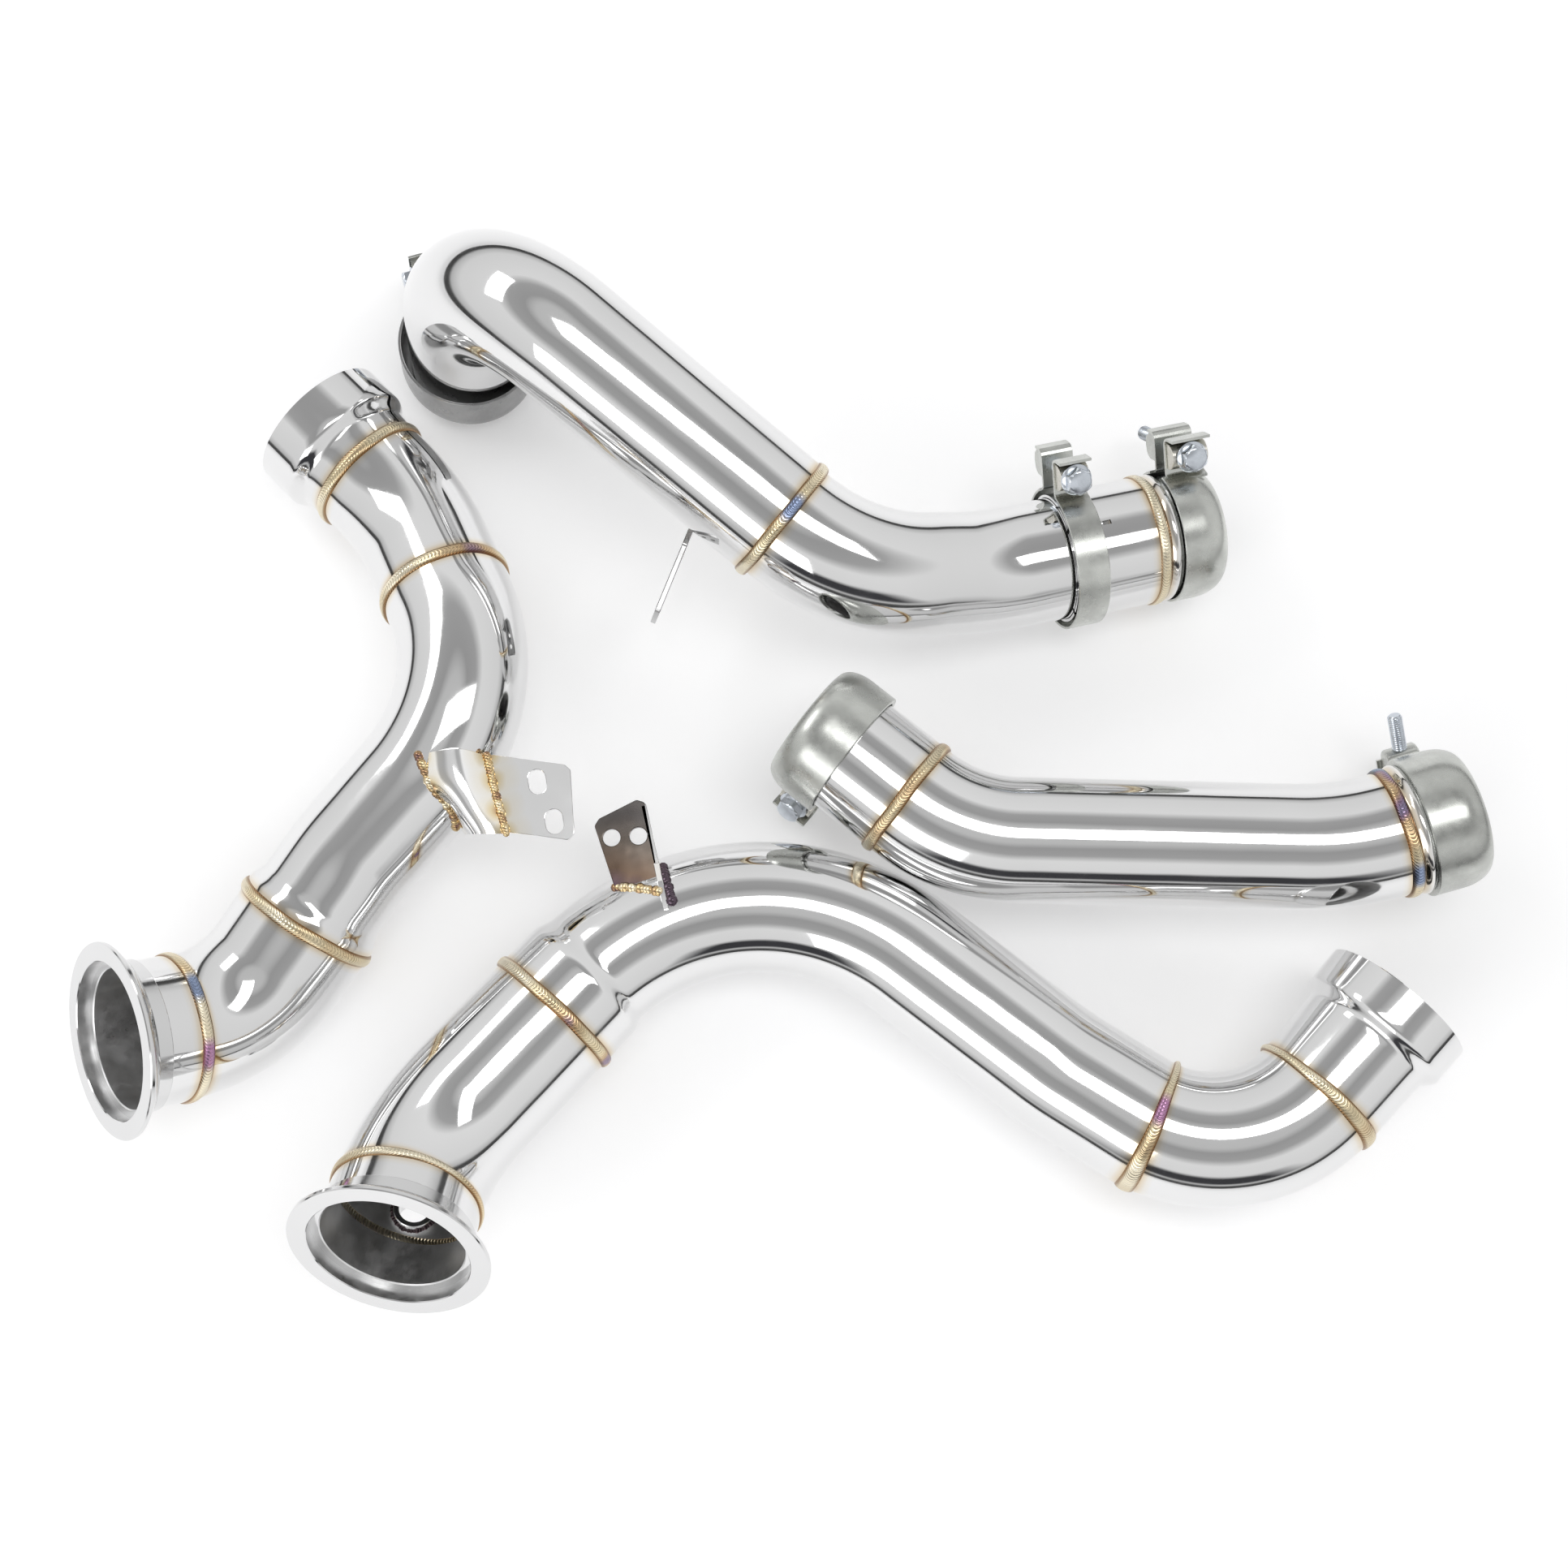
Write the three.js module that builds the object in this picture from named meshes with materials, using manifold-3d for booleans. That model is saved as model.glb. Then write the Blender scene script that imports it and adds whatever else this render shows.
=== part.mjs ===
// Racing exhaust system: two downpipes and two mid pipes for a twin turbo
// engine, laid out loose on a floor with their band clamps.
// Millimetres, +Z up, origin at the bottom centre of the whole layout.
import * as THREE from 'three';
import Module from 'manifold-3d';
import { mergeVertices } from 'three/addons/utils/BufferGeometryUtils.js';

const wasm = await Module();
wasm.setup();

// ---------------------------------------------------------------- sizes
const WALL = 1.5;          // tube wall
const GAP = 0.3;           // air between neighbouring pieces
const SIDES = 18;          // facets round a tube
const BEND_STEP = 15;      // degrees of bend for each tube station

const LARGE_R = 38;        // 76 mm tube next to the turbine flange
const SMALL_R = 35;        // 70 mm downpipe tube
const MID_R = 33.6;        // 67 mm tube of the rear mid pipe's second half
const LINK_R = 33.5;       // 67 mm tube of the short mid pipe
const SLIP_R = 35.4;        // slotted slip sleeve
const LIP_RISE = 1.8;      // rolled ring next to each outlet weld

const BEAD_HALF = 3;       // half width of a weld bead
const BEAD_RISE = 1.8;     // how far a bead stands off the tube

const FLANGE_R = 51;       // V-band flange rim
const FLANGE_SEAT_R = 41;  // recess in the flange face
const FLANGE_SEAT = 7;     // depth of that recess
const FLANGE_RIM = 2.5;    // thickness of the rim
const FLANGE_BACK = 9;     // flange face to the end of the V
const HUB_R = 39.6;        // hub behind the V
const HUB_END = 17;        // flange face to the end of the hub

const SOCKET_R = 41;       // flared outlet socket

const CUP_DROP = 6.5;      // how far a preformed clamp's rounded edge turns in
const CUP_SHOULDER = 10;   // length of that rounded edge
const CUP_EAR = 22;        // length of a preformed clamp's ears
const BAND_T = 1.5;        // band steel thickness
const BOLT_RISE = 10;      // bolt axis above the band's outside
const BOLT_R = 4;          // M8
const HEAD_AF = 13;        // hexagon across flats
const HEAD_H = 6;
const WASHER_R = 8.5;
const WASHER_T = 1.5;
const BAR_R = 7;           // half round spacer bar under the bolt head
const BAR_T = 9;
const BLOCK_T = 17;        // nut block along the bolt
const BLOCK_H = 18;

const PLATE_T = 3;         // bracket plates

// ---------------------------------------------------------------- routes
// Each centre line is a bending table: the corner points of the straight
// runs and the bend radius at each inner corner.
const ROUTES = {
  a: {
    corners: [[-342, -149, 79.4], [-288, -132, 34.4], [-231, -50, 47.4],
      [-155, 34, 69.4], [-206, 143, 41.4], [-263, 200, 42]],
    radii: [61, 135, 87, 120],
  },
  b: {
    corners: [[-182.5, 249, 0], [-166, 251, 141], [35.6, 96.5, 79],
      [110, 107.8, 50], [224, 136, 37.5]],
    radii: [59, 108, 125],
  },
  c: {
    corners: [[8.5, 26, 60.5], [92.5, -41, 57.5], [295, -46, 57], [354, -29.5, 63]],
    radii: [92, 168],
  },
  d: {
    corners: [[-193, -252.5, 96], [-184, -201, 57], [-27, -29, 34.5],
      [143, -160, 36], [235.5, -219, 46], [318, -129.5, 50.5]],
    radii: [90, 129, 141, 75],
  },
};
// Moves the layout so that its box is centred on the origin.
const LAYOUT = [3.154, -13.742, 0.227];

// distances along each route
const A = { bead4: 35.7, bead3: 126.7, bead2: 338.3, bead1: 424.4, end: 466, reducer: 139 };
const D = { bead4: 33, bead3: 156.4, bead2: 521.8, bead1: 614.6, end: 680, reducer: 186 };
const B = { start: 14.5, bead1: 319.5, slip: 484, tubeEnd: 504, bead2: 535, end: 560 };
const C = { start: 16, bead1: 72, bead2: 335.5, end: 364.5 };

const rad = (deg) => deg * Math.PI / 180;
const V = (x, y, z) => new THREE.Vector3(x, y, z);

// ---------------------------------------------------------------- centre line
class Route {
  constructor({ corners, radii }) {
    const pts = corners.map((c) => V(c[0] + LAYOUT[0], c[1] + LAYOUT[1], c[2] + LAYOUT[2]));
    this.pieces = [];
    this.length = 0;
    let from = pts[0];
    let dir = pts[1].clone().sub(pts[0]).normalize();
    // a horizontal side vector starts the frame, or +Y where the tube is upright
    let side = V(0, 0, 1).cross(dir);
    side = side.length() < 0.3 ? V(0, 1, 0) : side;
    side.addScaledVector(dir, -side.dot(dir)).normalize();
    for (let i = 1; i < pts.length; i += 1) {
      const next = i + 1 < pts.length ? pts[i + 1].clone().sub(pts[i]).normalize() : null;
      const angle = next ? dir.angleTo(next) : 0;
      const setback = next ? radii[i - 1] * Math.tan(angle / 2) : 0;
      const to = pts[i].clone().addScaledVector(dir, -setback);
      this.add({ from, dir, side, length: from.distanceTo(to) });
      if (!next) break;
      const axis = dir.clone().cross(next).normalize();
      const bend = { from: to, dir, side, axis, radius: radii[i - 1], length: radii[i - 1] * angle };
      this.add(bend);
      side = side.clone().applyAxisAngle(axis, angle);
      from = pts[i].clone().addScaledVector(next, setback);
      dir = next;
    }
  }

  add(piece) {
    piece.start = this.length;
    this.length += piece.length;
    this.pieces.push(piece);
  }

  // position, direction, side and up vectors at distance s
  at(s) {
    let piece = this.pieces[this.pieces.length - 1];
    for (const p of this.pieces) {
      if (s <= p.start + p.length) { piece = p; break; }
    }
    const d = s - piece.start;
    const dir = piece.dir.clone();
    const side = piece.side.clone();
    const pos = piece.from.clone();
    if (piece.axis) {
      const turn = d / piece.radius;
      const inward = piece.axis.clone().cross(piece.dir);
      pos.addScaledVector(piece.dir, piece.radius * Math.sin(turn));
      pos.addScaledVector(inward, piece.radius * (1 - Math.cos(turn)));
      dir.applyAxisAngle(piece.axis, turn);
      side.applyAxisAngle(piece.axis, turn);
    } else {
      pos.addScaledVector(piece.dir, d);
    }
    return { pos, dir, side, up: dir.clone().cross(side) };
  }

  // stations needed strictly between two distances
  between(s0, s1) {
    const low = Math.min(s0, s1);
    const high = Math.max(s0, s1);
    const list = [];
    for (const p of this.pieces) {
      if (!p.axis) continue;
      const steps = Math.max(1, Math.ceil(p.length / p.radius / rad(BEND_STEP)));
      for (let k = 0; k <= steps; k += 1) {
        const s = p.start + p.length * k / steps;
        if (s > low + 2 && s < high - 2) list.push(s);
      }
    }
    list.sort((x, y) => x - y);
    return s1 < s0 ? list.reverse() : list;
  }
}

// the frame with its side vector turned level, except on an upright tube
function levelFrame(route, s) {
  const f = route.at(s);
  const level = V(0, 0, 1).cross(f.dir);
  if (level.length() > 0.3) f.side = level.normalize();
  f.up = f.dir.clone().cross(f.side);
  return f;
}

const ROUTE = Object.fromEntries(Object.entries(ROUTES).map(([k, v]) => [k, new Route(v)]));

// ---------------------------------------------------------------- solids
function closedGeometry(positions, triangles) {
  let volume = 0;
  for (const [i, j, k] of triangles) {
    volume += positions[i].dot(positions[j].clone().cross(positions[k]));
  }
  const faces = volume < 0 ? triangles.map(([i, j, k]) => [i, k, j]) : triangles;
  const g = new THREE.BufferGeometry();
  g.setAttribute('position', new THREE.Float32BufferAttribute(positions.flatMap((p) => [p.x, p.y, p.z]), 3));
  g.setIndex(faces.flat());
  return g;
}

// a closed profile of [distance, radius] corners carried round the centre line
function turned(route, profile, sides = SIDES) {
  const rows = [];
  profile.forEach(([s0, r0], i) => {
    const [s1, r1] = profile[(i + 1) % profile.length];
    rows.push([s0, r0]);
    for (const s of route.between(s0, s1)) rows.push([s, r0 + (r1 - r0) * (s - s0) / (s1 - s0)]);
  });
  const positions = [];
  for (const [s, r] of rows) {
    const f = route.at(s);
    for (let k = 0; k < sides; k += 1) {
      const a = 2 * Math.PI * k / sides;
      const p = f.pos.clone().addScaledVector(f.side, r * Math.cos(a)).addScaledVector(f.up, r * Math.sin(a));
      positions.push(p);
    }
  }
  const triangles = [];
  for (let i = 0; i < rows.length; i += 1) {
    const j = (i + 1) % rows.length;
    for (let k = 0; k < sides; k += 1) {
      const l = (k + 1) % sides;
      triangles.push([i * sides + k, i * sides + l, j * sides + l]);
      triangles.push([i * sides + k, j * sides + l, j * sides + k]);
    }
  }
  return closedGeometry(positions, triangles);
}

const tube = (route, s0, s1, r, wall = WALL) => turned(route, [[s0, r], [s1, r], [s1, r - wall], [s0, r - wall]]);

// manifold helpers
function toSolid(geometry) {
  const g = geometry.clone();
  g.deleteAttribute('normal');
  g.deleteAttribute('uv');
  const m = mergeVertices(g, 1e-4);
  const vertProperties = Float32Array.from(m.attributes.position.array);
  const triVerts = Uint32Array.from(m.index.array);
  return new wasm.Manifold(new wasm.Mesh({ numProp: 3, vertProperties, triVerts }));
}

function toGeometry(solid) {
  const mesh = solid.getMesh();
  const g = new THREE.BufferGeometry();
  g.setAttribute('position', new THREE.BufferAttribute(Float32Array.from(mesh.vertProperties), 3));
  g.setIndex(Array.from(mesh.triVerts));
  return g;
}

function box(x0, x1, y0, y1, z0, z1) {
  const g = new THREE.BoxGeometry(x1 - x0, y1 - y0, z1 - z0);
  g.translate((x0 + x1) / 2, (y0 + y1) / 2, (z0 + z1) / 2);
  return g;
}

// a flat outline in (a, b), pulled along the third axis
function slab(points, depth, holes = []) {
  const outline = points.map(([x, y]) => new THREE.Vector2(x, y));
  if (THREE.ShapeUtils.isClockWise(outline)) outline.reverse();
  const shape = new THREE.Shape(outline);
  for (const h of holes) shape.holes.push(new THREE.Path(h.map(([x, y]) => new THREE.Vector2(x, y))));
  return new THREE.ExtrudeGeometry(shape, { depth, bevelEnabled: false, steps: 1, curveSegments: 4 });
}

function ring(cx, cy, r, n = 12) {
  const list = [];
  for (let k = 0; k < n; k += 1) {
    const a = -2 * Math.PI * (k + 0.5) / n;
    list.push([cx + r * Math.cos(a), cy + r * Math.sin(a)]);
  }
  return list;
}

function rod(r, y0, y1, x, z, n = 12) {
  const g = new THREE.CylinderGeometry(r, r, y1 - y0, n, 1);
  g.translate(x, (y0 + y1) / 2, z);
  return g;
}

// ---------------------------------------------------------------- materials
const steel = (color, roughness, metalness = 1) => new THREE.MeshStandardMaterial({ color, roughness, metalness });
const POLISHED = () => steel(0xc9cacc, 0.06);
const WELD = () => steel(0xc8a86a, 0.3);
const SATIN = () => steel(0x9a9b9c, 0.42);
const SPACER = () => steel(0xb8b4a6, 0.35);
const ZINC = () => steel(0xb9c6cf, 0.25);

const root = new THREE.Group();
const groups = {};
for (const key of ['d', 'a', 'b', 'c']) {
  groups[key] = new THREE.Group();
  root.add(groups[key]);
}

function put(group, name, geometry, material) {
  const mesh = new THREE.Mesh(geometry, material);
  mesh.name = name;
  group.add(mesh);
  return mesh;
}

// ---------------------------------------------------------------- pipe pieces
const bead = (route, s, r, inner = r - WALL) => turned(route, [
  [s - BEAD_HALF, inner],
  [s - BEAD_HALF * 0.7, r + BEAD_RISE],
  [s + BEAD_HALF * 0.7, r + BEAD_RISE],
  [s + BEAD_HALF, inner],
]);

const flange = (route) => turned(route, [
  [0, FLANGE_SEAT_R], [0, FLANGE_R], [FLANGE_RIM, FLANGE_R], [FLANGE_BACK - 1, HUB_R + 4],
  [FLANGE_BACK, HUB_R], [HUB_END, HUB_R], [HUB_END, LARGE_R - WALL],
  [FLANGE_SEAT, LARGE_R - WALL], [FLANGE_SEAT, FLANGE_SEAT_R],
], 24);

const BEFORE = BEAD_HALF + GAP;

for (const [key, S] of [['a', A], ['d', D]]) {
  const r = ROUTE[key];
  const g = groups[key];
  put(g, `${key}_flange`, flange(r), POLISHED());
  put(g, `${key}_spigot`, tube(r, HUB_END + GAP, S.bead4 - BEFORE, LARGE_R + 0.4, WALL + 0.4), POLISHED());
  put(g, `${key}_bead_4`, bead(r, S.bead4, LARGE_R), WELD());
  put(g, `${key}_bead_3`, bead(r, S.bead3, LARGE_R), WELD());
  put(g, `${key}_reducer`, turned(r, [
    [S.bead3 + BEFORE, LARGE_R - WALL], [S.bead3 + BEFORE, LARGE_R],
    [S.reducer - 6, LARGE_R - 0.5], [S.reducer, SMALL_R],
    [S.reducer, SMALL_R - WALL], [S.reducer - 6, LARGE_R - 0.5 - WALL],
  ]), POLISHED());
  put(g, `${key}_bend`, tube(r, S.reducer + GAP, S.bead2 - BEFORE, SMALL_R), POLISHED());
  put(g, `${key}_bead_2`, bead(r, S.bead2, SMALL_R), WELD());
  put(g, `${key}_kick`, tube(r, S.bead2 + BEFORE, S.bead1 - BEFORE, SMALL_R), POLISHED());
  put(g, `${key}_bead_1`, bead(r, S.bead1, SMALL_R), WELD());
}

// outlet sockets: a short neck, a flare and the slip mouth
function socket(route, s0, flare0, flare1, end, r) {
  const w = WALL;
  return turned(route, [
    [s0, r - w], [s0, r], [flare0, r + 0.8], [flare1, SOCKET_R], [end, SOCKET_R],
    [end, SOCKET_R - w], [flare1, SOCKET_R - w], [flare0, r + 0.8 - w],
  ]);
}
put(groups.a, 'a_socket', socket(ROUTE.a, A.bead1 + BEFORE, 436, 445, A.end, SMALL_R), POLISHED());
put(groups.d, 'd_socket', socket(ROUTE.d, D.bead1 + BEFORE, 652, 660, D.end, SMALL_R), POLISHED());

put(groups.a, 'a_elbow', tube(ROUTE.a, A.bead4 + BEFORE, A.bead3 - BEFORE, LARGE_R), POLISHED());

// the front downpipe's large tube carries a sensor boss on its underside
const BUNG_S = 45;
const BUNG_R = 11;
const BUNG_BORE_R = 8;
const BUNG_ANGLE = -90;    // degrees round the tube from its level side vector
function radialFrame(route, s, angle) {
  const f = levelFrame(route, s);
  const out = f.side.clone().multiplyScalar(Math.cos(rad(angle))).addScaledVector(f.up, Math.sin(rad(angle)));
  return { ...f, out, tangent: f.dir.clone().cross(out) };
}
function frameMatrix(f, origin) {
  const m = new THREE.Matrix4().makeBasis(f.dir, f.out.clone().cross(f.dir), f.out);
  m.setPosition(origin);
  return m;
}
{
  const f = radialFrame(ROUTE.d, BUNG_S, BUNG_ANGLE);
  const m = frameMatrix(f, f.pos);
  const cut = new THREE.CylinderGeometry(BUNG_R + GAP, BUNG_R + GAP, 20, 16, 1);
  cut.rotateX(Math.PI / 2);
  cut.translate(0, 0, LARGE_R);
  cut.applyMatrix4(m);
  const body = toSolid(tube(ROUTE.d, D.bead4 + BEFORE, D.bead3 - BEFORE, LARGE_R));
  put(groups.d, 'd_elbow', toGeometry(body.subtract(toSolid(cut))), POLISHED());
  const pts = [[BUNG_BORE_R, -6], [BUNG_R, -6], [BUNG_R, 8], [BUNG_BORE_R, 8]];
  const boss = new THREE.LatheGeometry([...pts, pts[0]].map(([x, y]) => new THREE.Vector2(x, y)), 16);
  boss.rotateX(Math.PI / 2);
  boss.translate(0, 0, LARGE_R);
  boss.applyMatrix4(m);
  put(groups.d, 'd_sensor_boss', toGeometry(toSolid(boss)), POLISHED());
}

// rear mid pipe: upright inlet, long raised run, bend, slotted slip sleeve, outlet lip
put(groups.b, 'b_inlet', tube(ROUTE.b, B.start, B.bead1 - BEFORE, SMALL_R), POLISHED());
put(groups.b, 'b_bead_1', bead(ROUTE.b, B.bead1, SMALL_R, MID_R - WALL), WELD());
put(groups.b, 'b_bend', tube(ROUTE.b, B.bead1 + BEFORE, B.tubeEnd, MID_R), POLISHED());
const lip = (route, s0, end, r) => turned(route, [
  [s0, r - WALL], [s0, r], [s0 + 3.5, r + LIP_RISE], [s0 + 6, r + LIP_RISE], [s0 + 7.5, r],
  [end, r], [end, r - WALL],
]);
put(groups.b, 'b_bead_2', bead(ROUTE.b, B.bead2, SLIP_R - 0.6, MID_R - WALL), WELD());
put(groups.b, 'b_outlet', lip(ROUTE.b, B.bead2 + BEFORE, B.end, MID_R), POLISHED());
{
  // two open slots let the sleeve close on the tube inside it
  let sleeve = toSolid(tube(ROUTE.b, B.slip, B.bead2 - BEFORE, SLIP_R, SLIP_R - MID_R - GAP));
  for (const [angle, length] of [[84, 24], [169, 18]]) {
    const f = radialFrame(ROUTE.b, B.slip, angle);
    const cut = box(-2, length, -1, 1, SLIP_R - 6, SLIP_R + 6);
    cut.applyMatrix4(frameMatrix(f, f.pos));
    sleeve = sleeve.subtract(toSolid(cut));
  }
  put(groups.b, 'b_slip_sleeve', toGeometry(sleeve), POLISHED());
}

// short mid pipe
put(groups.c, 'c_inlet', tube(ROUTE.c, C.start, C.bead1 - BEFORE, LINK_R), POLISHED());
put(groups.c, 'c_bead_1', bead(ROUTE.c, C.bead1, LINK_R), WELD());
put(groups.c, 'c_main', tube(ROUTE.c, C.bead1 + BEFORE, C.bead2 - BEFORE, LINK_R), POLISHED());
put(groups.c, 'c_bead_2', bead(ROUTE.c, C.bead2, LINK_R), WELD());
put(groups.c, 'c_outlet', lip(ROUTE.c, C.bead2 + BEFORE, C.end, LINK_R), POLISHED());

// ---------------------------------------------------------------- brackets
// a solid rod that clears a tube all round, to cut a bracket's foot to the tube
const clearing = (route, s0, s1, r) => toSolid(turned(route, [
  [s0, 0.02], [s0, r + GAP], [s1, r + GAP], [s1, 0.02],
]));
const moved = (p) => V(p[0] + LAYOUT[0], p[1] + LAYOUT[1], p[2] + LAYOUT[2]);

// a block between matching rows of corners on a top and a bottom surface
function skin(top, bottom) {
  const rows = top.length;
  const cols = top[0].length;
  const positions = [...top.flat(), ...bottom.flat()];
  const at = (side, i, j) => side * rows * cols + i * cols + j;
  const triangles = [];
  const quad = (a, b, c, d) => triangles.push([a, b, c], [a, c, d]);
  for (let i = 0; i + 1 < rows; i += 1) {
    for (let j = 0; j + 1 < cols; j += 1) {
      quad(at(0, i, j), at(0, i + 1, j), at(0, i + 1, j + 1), at(0, i, j + 1));
      quad(at(1, i, j + 1), at(1, i + 1, j + 1), at(1, i + 1, j), at(1, i, j));
    }
    quad(at(1, i, 0), at(1, i + 1, 0), at(0, i + 1, 0), at(0, i, 0));
    quad(at(0, i, cols - 1), at(0, i + 1, cols - 1), at(1, i + 1, cols - 1), at(1, i, cols - 1));
  }
  for (let j = 0; j + 1 < cols; j += 1) {
    quad(at(0, 0, j), at(0, 0, j + 1), at(1, 0, j + 1), at(1, 0, j));
    quad(at(1, rows - 1, j), at(1, rows - 1, j + 1), at(0, rows - 1, j + 1), at(0, rows - 1, j));
  }
  return closedGeometry(positions, triangles);
}

function slot(cx, cy, half, length, angle) {
  const list = [];
  for (const [end, from] of [[1, -90], [-1, 90]]) {
    for (let k = 0; k <= 4; k += 1) {
      const a = rad(from + 45 * k);
      list.push([end * (length / 2 - half) + half * Math.cos(a), half * Math.sin(a)]);
    }
  }
  const c = Math.cos(rad(angle));
  const s = Math.sin(rad(angle));
  return list.reverse().map(([x, y]) => [cx + x * c - y * s, cy + x * s + y * c]);
}

// rear downpipe: a bent strap stands on the tube and carries a flat plate with two slots
const A_PLATE_TOP = 86;
const A_PLATE = [[-153.9, -1.4], [-114, -6.6], [-110.4, -9.6], [-107.6, -43], [-111, -46.6], [-142.2, -42.4]];
const A_SLOTS = [[-127.5, -16], [-118.2, -36.9]];
const A_STRAP = [
  [[-187.8, -3.4, 92], [-181.4, -19.5, 91], [-171.5, -31.3, 76], [-167.5, -41.2, 66]],
  [[-177.5, -2, 96.5], [-174.5, -18, 95.5], [-167.5, -33, 89], [-163, -43, 82]],
  [[-166.5, -1, 96], [-163.5, -17, 95.5], [-158.5, -33, 92.5], [-155, -44, 89.5]],
  [[-154.6, -2.1, 86.5], [-151.4, -15, 86.5], [-146.8, -31, 86.5], [-143.2, -43.4, 86.5]],
];
{
  const cut = clearing(ROUTE.a, 180, 290, SMALL_R);
  const plate = slab(A_PLATE.map(([x, y]) => [x + LAYOUT[0], y + LAYOUT[1]]), PLATE_T, A_SLOTS.map(
    ([x, y]) => slot(x + LAYOUT[0], y + LAYOUT[1], 4.5, 13, 100),
  ));
  plate.translate(0, 0, A_PLATE_TOP - PLATE_T + LAYOUT[2]);
  const flat = toSolid(plate).subtract(cut);
  put(groups.a, 'a_bracket_plate', toGeometry(flat), POLISHED());
  const top = A_STRAP.map((row) => row.map(moved));
  const bottom = top.map((row) => row.map((p) => p.clone().add(V(-0.6, 0.4, -PLATE_T))));
  const away = V(-0.96, -0.28, 0).multiplyScalar(GAP + 0.3);
  const strap = toSolid(skin(top, bottom)).translate([away.x, away.y, away.z]);
  put(groups.a, 'a_bracket_strap', toGeometry(strap.subtract(cut)), POLISHED());
}

// front downpipe: one bent plate with two round holes and a leg down its right edge
const D_PLATE_TOP = 68;
const D_PLATE = [[-97, -32.1], [-77.5, -22], [-73, -23.4], [-63, -74], [-87, -72], [-99.4, -36]];
const D_HOLES = [[-90.2, -42.2], [-76.2, -41.3]];
const D_HOLE_R = 4.6;
const D_LEG = [[-72.6, -23.5], [-59, -82]];
const D_LEG_DROP = 24;
{
  const cut = clearing(ROUTE.d, 175, 270, SMALL_R);
  const plate = slab(D_PLATE.map(([x, y]) => [x + LAYOUT[0], y + LAYOUT[1]]), PLATE_T, D_HOLES.map(
    ([x, y]) => ring(x + LAYOUT[0], y + LAYOUT[1], D_HOLE_R),
  ));
  plate.translate(0, 0, D_PLATE_TOP - PLATE_T + LAYOUT[2]);
  const [from, to] = D_LEG;
  const along = V(to[0] - from[0], to[1] - from[1], 0);
  const length = along.length();
  along.normalize();
  const leg = slab([[0, -8], [length * 0.5, -D_LEG_DROP], [length, -D_LEG_DROP], [length, 8],
    [length * 0.72, 6], [length * 0.55, 0], [0, 0]], PLATE_T);
  const frame = new THREE.Matrix4().makeBasis(along, V(0, 0, 1), along.clone().cross(V(0, 0, 1)));
  leg.applyMatrix4(frame.setPosition(moved([from[0], from[1], D_PLATE_TOP])));
  const bent = toSolid(plate).add(toSolid(leg)).subtract(cut);
  const parts = bent.decompose().sort((x, y) => y.volume() - x.volume());
  put(groups.d, 'd_bracket', toGeometry(parts[0]), POLISHED());
}

// rear mid pipe: a thin hanger plate stands on edge under the raised run
const HANGER_FROM = [-45.2, 136, 76];
const HANGER_OUT = [-0.358, -0.934, 0];
const HANGER_DOWN = [-0.057, 0.3, -0.952];
const HANGER_LENGTH = 62;
const HANGER_HEIGHT = 30;
{
  const out = V(...HANGER_OUT).normalize();
  const down = V(...HANGER_DOWN);
  down.addScaledVector(out, -down.dot(out)).normalize();
  const plate = slab([[0, -14], [14, -14], [22, 0], [HANGER_LENGTH - 3, 0], [HANGER_LENGTH, 3],
    [HANGER_LENGTH, HANGER_HEIGHT - 3], [HANGER_LENGTH - 3, HANGER_HEIGHT], [10, HANGER_HEIGHT],
    [0, HANGER_HEIGHT - 8]], PLATE_T, [ring(32, 15, D_HOLE_R), ring(50, 15, D_HOLE_R)]);
  plate.translate(0, 0, -PLATE_T / 2);
  const frame = new THREE.Matrix4().makeBasis(out, down, out.clone().cross(down));
  plate.applyMatrix4(frame.setPosition(moved(HANGER_FROM)));
  const hung = toSolid(plate).subtract(clearing(ROUTE.b, 200, 316, SMALL_R));
  const parts = hung.decompose().sort((x, y) => y.volume() - x.volume());
  put(groups.b, 'b_hanger', toGeometry(parts[0]), POLISHED());
}

// ---------------------------------------------------------------- clamps
// Local frame: X along the pipe, Z out to the bolt, Y along the bolt.
// The bolt head is on +Y when headSide is 1.
const arc = (cx, cy, r, a0, a1, n) => Array.from({ length: n + 1 }, (_, k) => {
  const a = rad(a0 + (a1 - a0) * k / n);
  return [cx + r * Math.cos(a), cy + r * Math.sin(a)];
});

// an outline in (Y, Z) pulled along X
function acrossX(points, x0, x1) {
  const g = slab(points, x1 - x0);
  g.applyMatrix4(new THREE.Matrix4().makeBasis(V(0, 1, 0), V(0, 0, 1), V(1, 0, 0)));
  g.translate(x0, 0, 0);
  return g;
}

function turnedLocal(profile, sides) {
  const straight = new Route({
    corners: [[-LAYOUT[0], -LAYOUT[1], -LAYOUT[2]], [100 - LAYOUT[0], -LAYOUT[1], -LAYOUT[2]]],
    radii: [],
  });
  return turned(straight, profile, sides);
}

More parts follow.
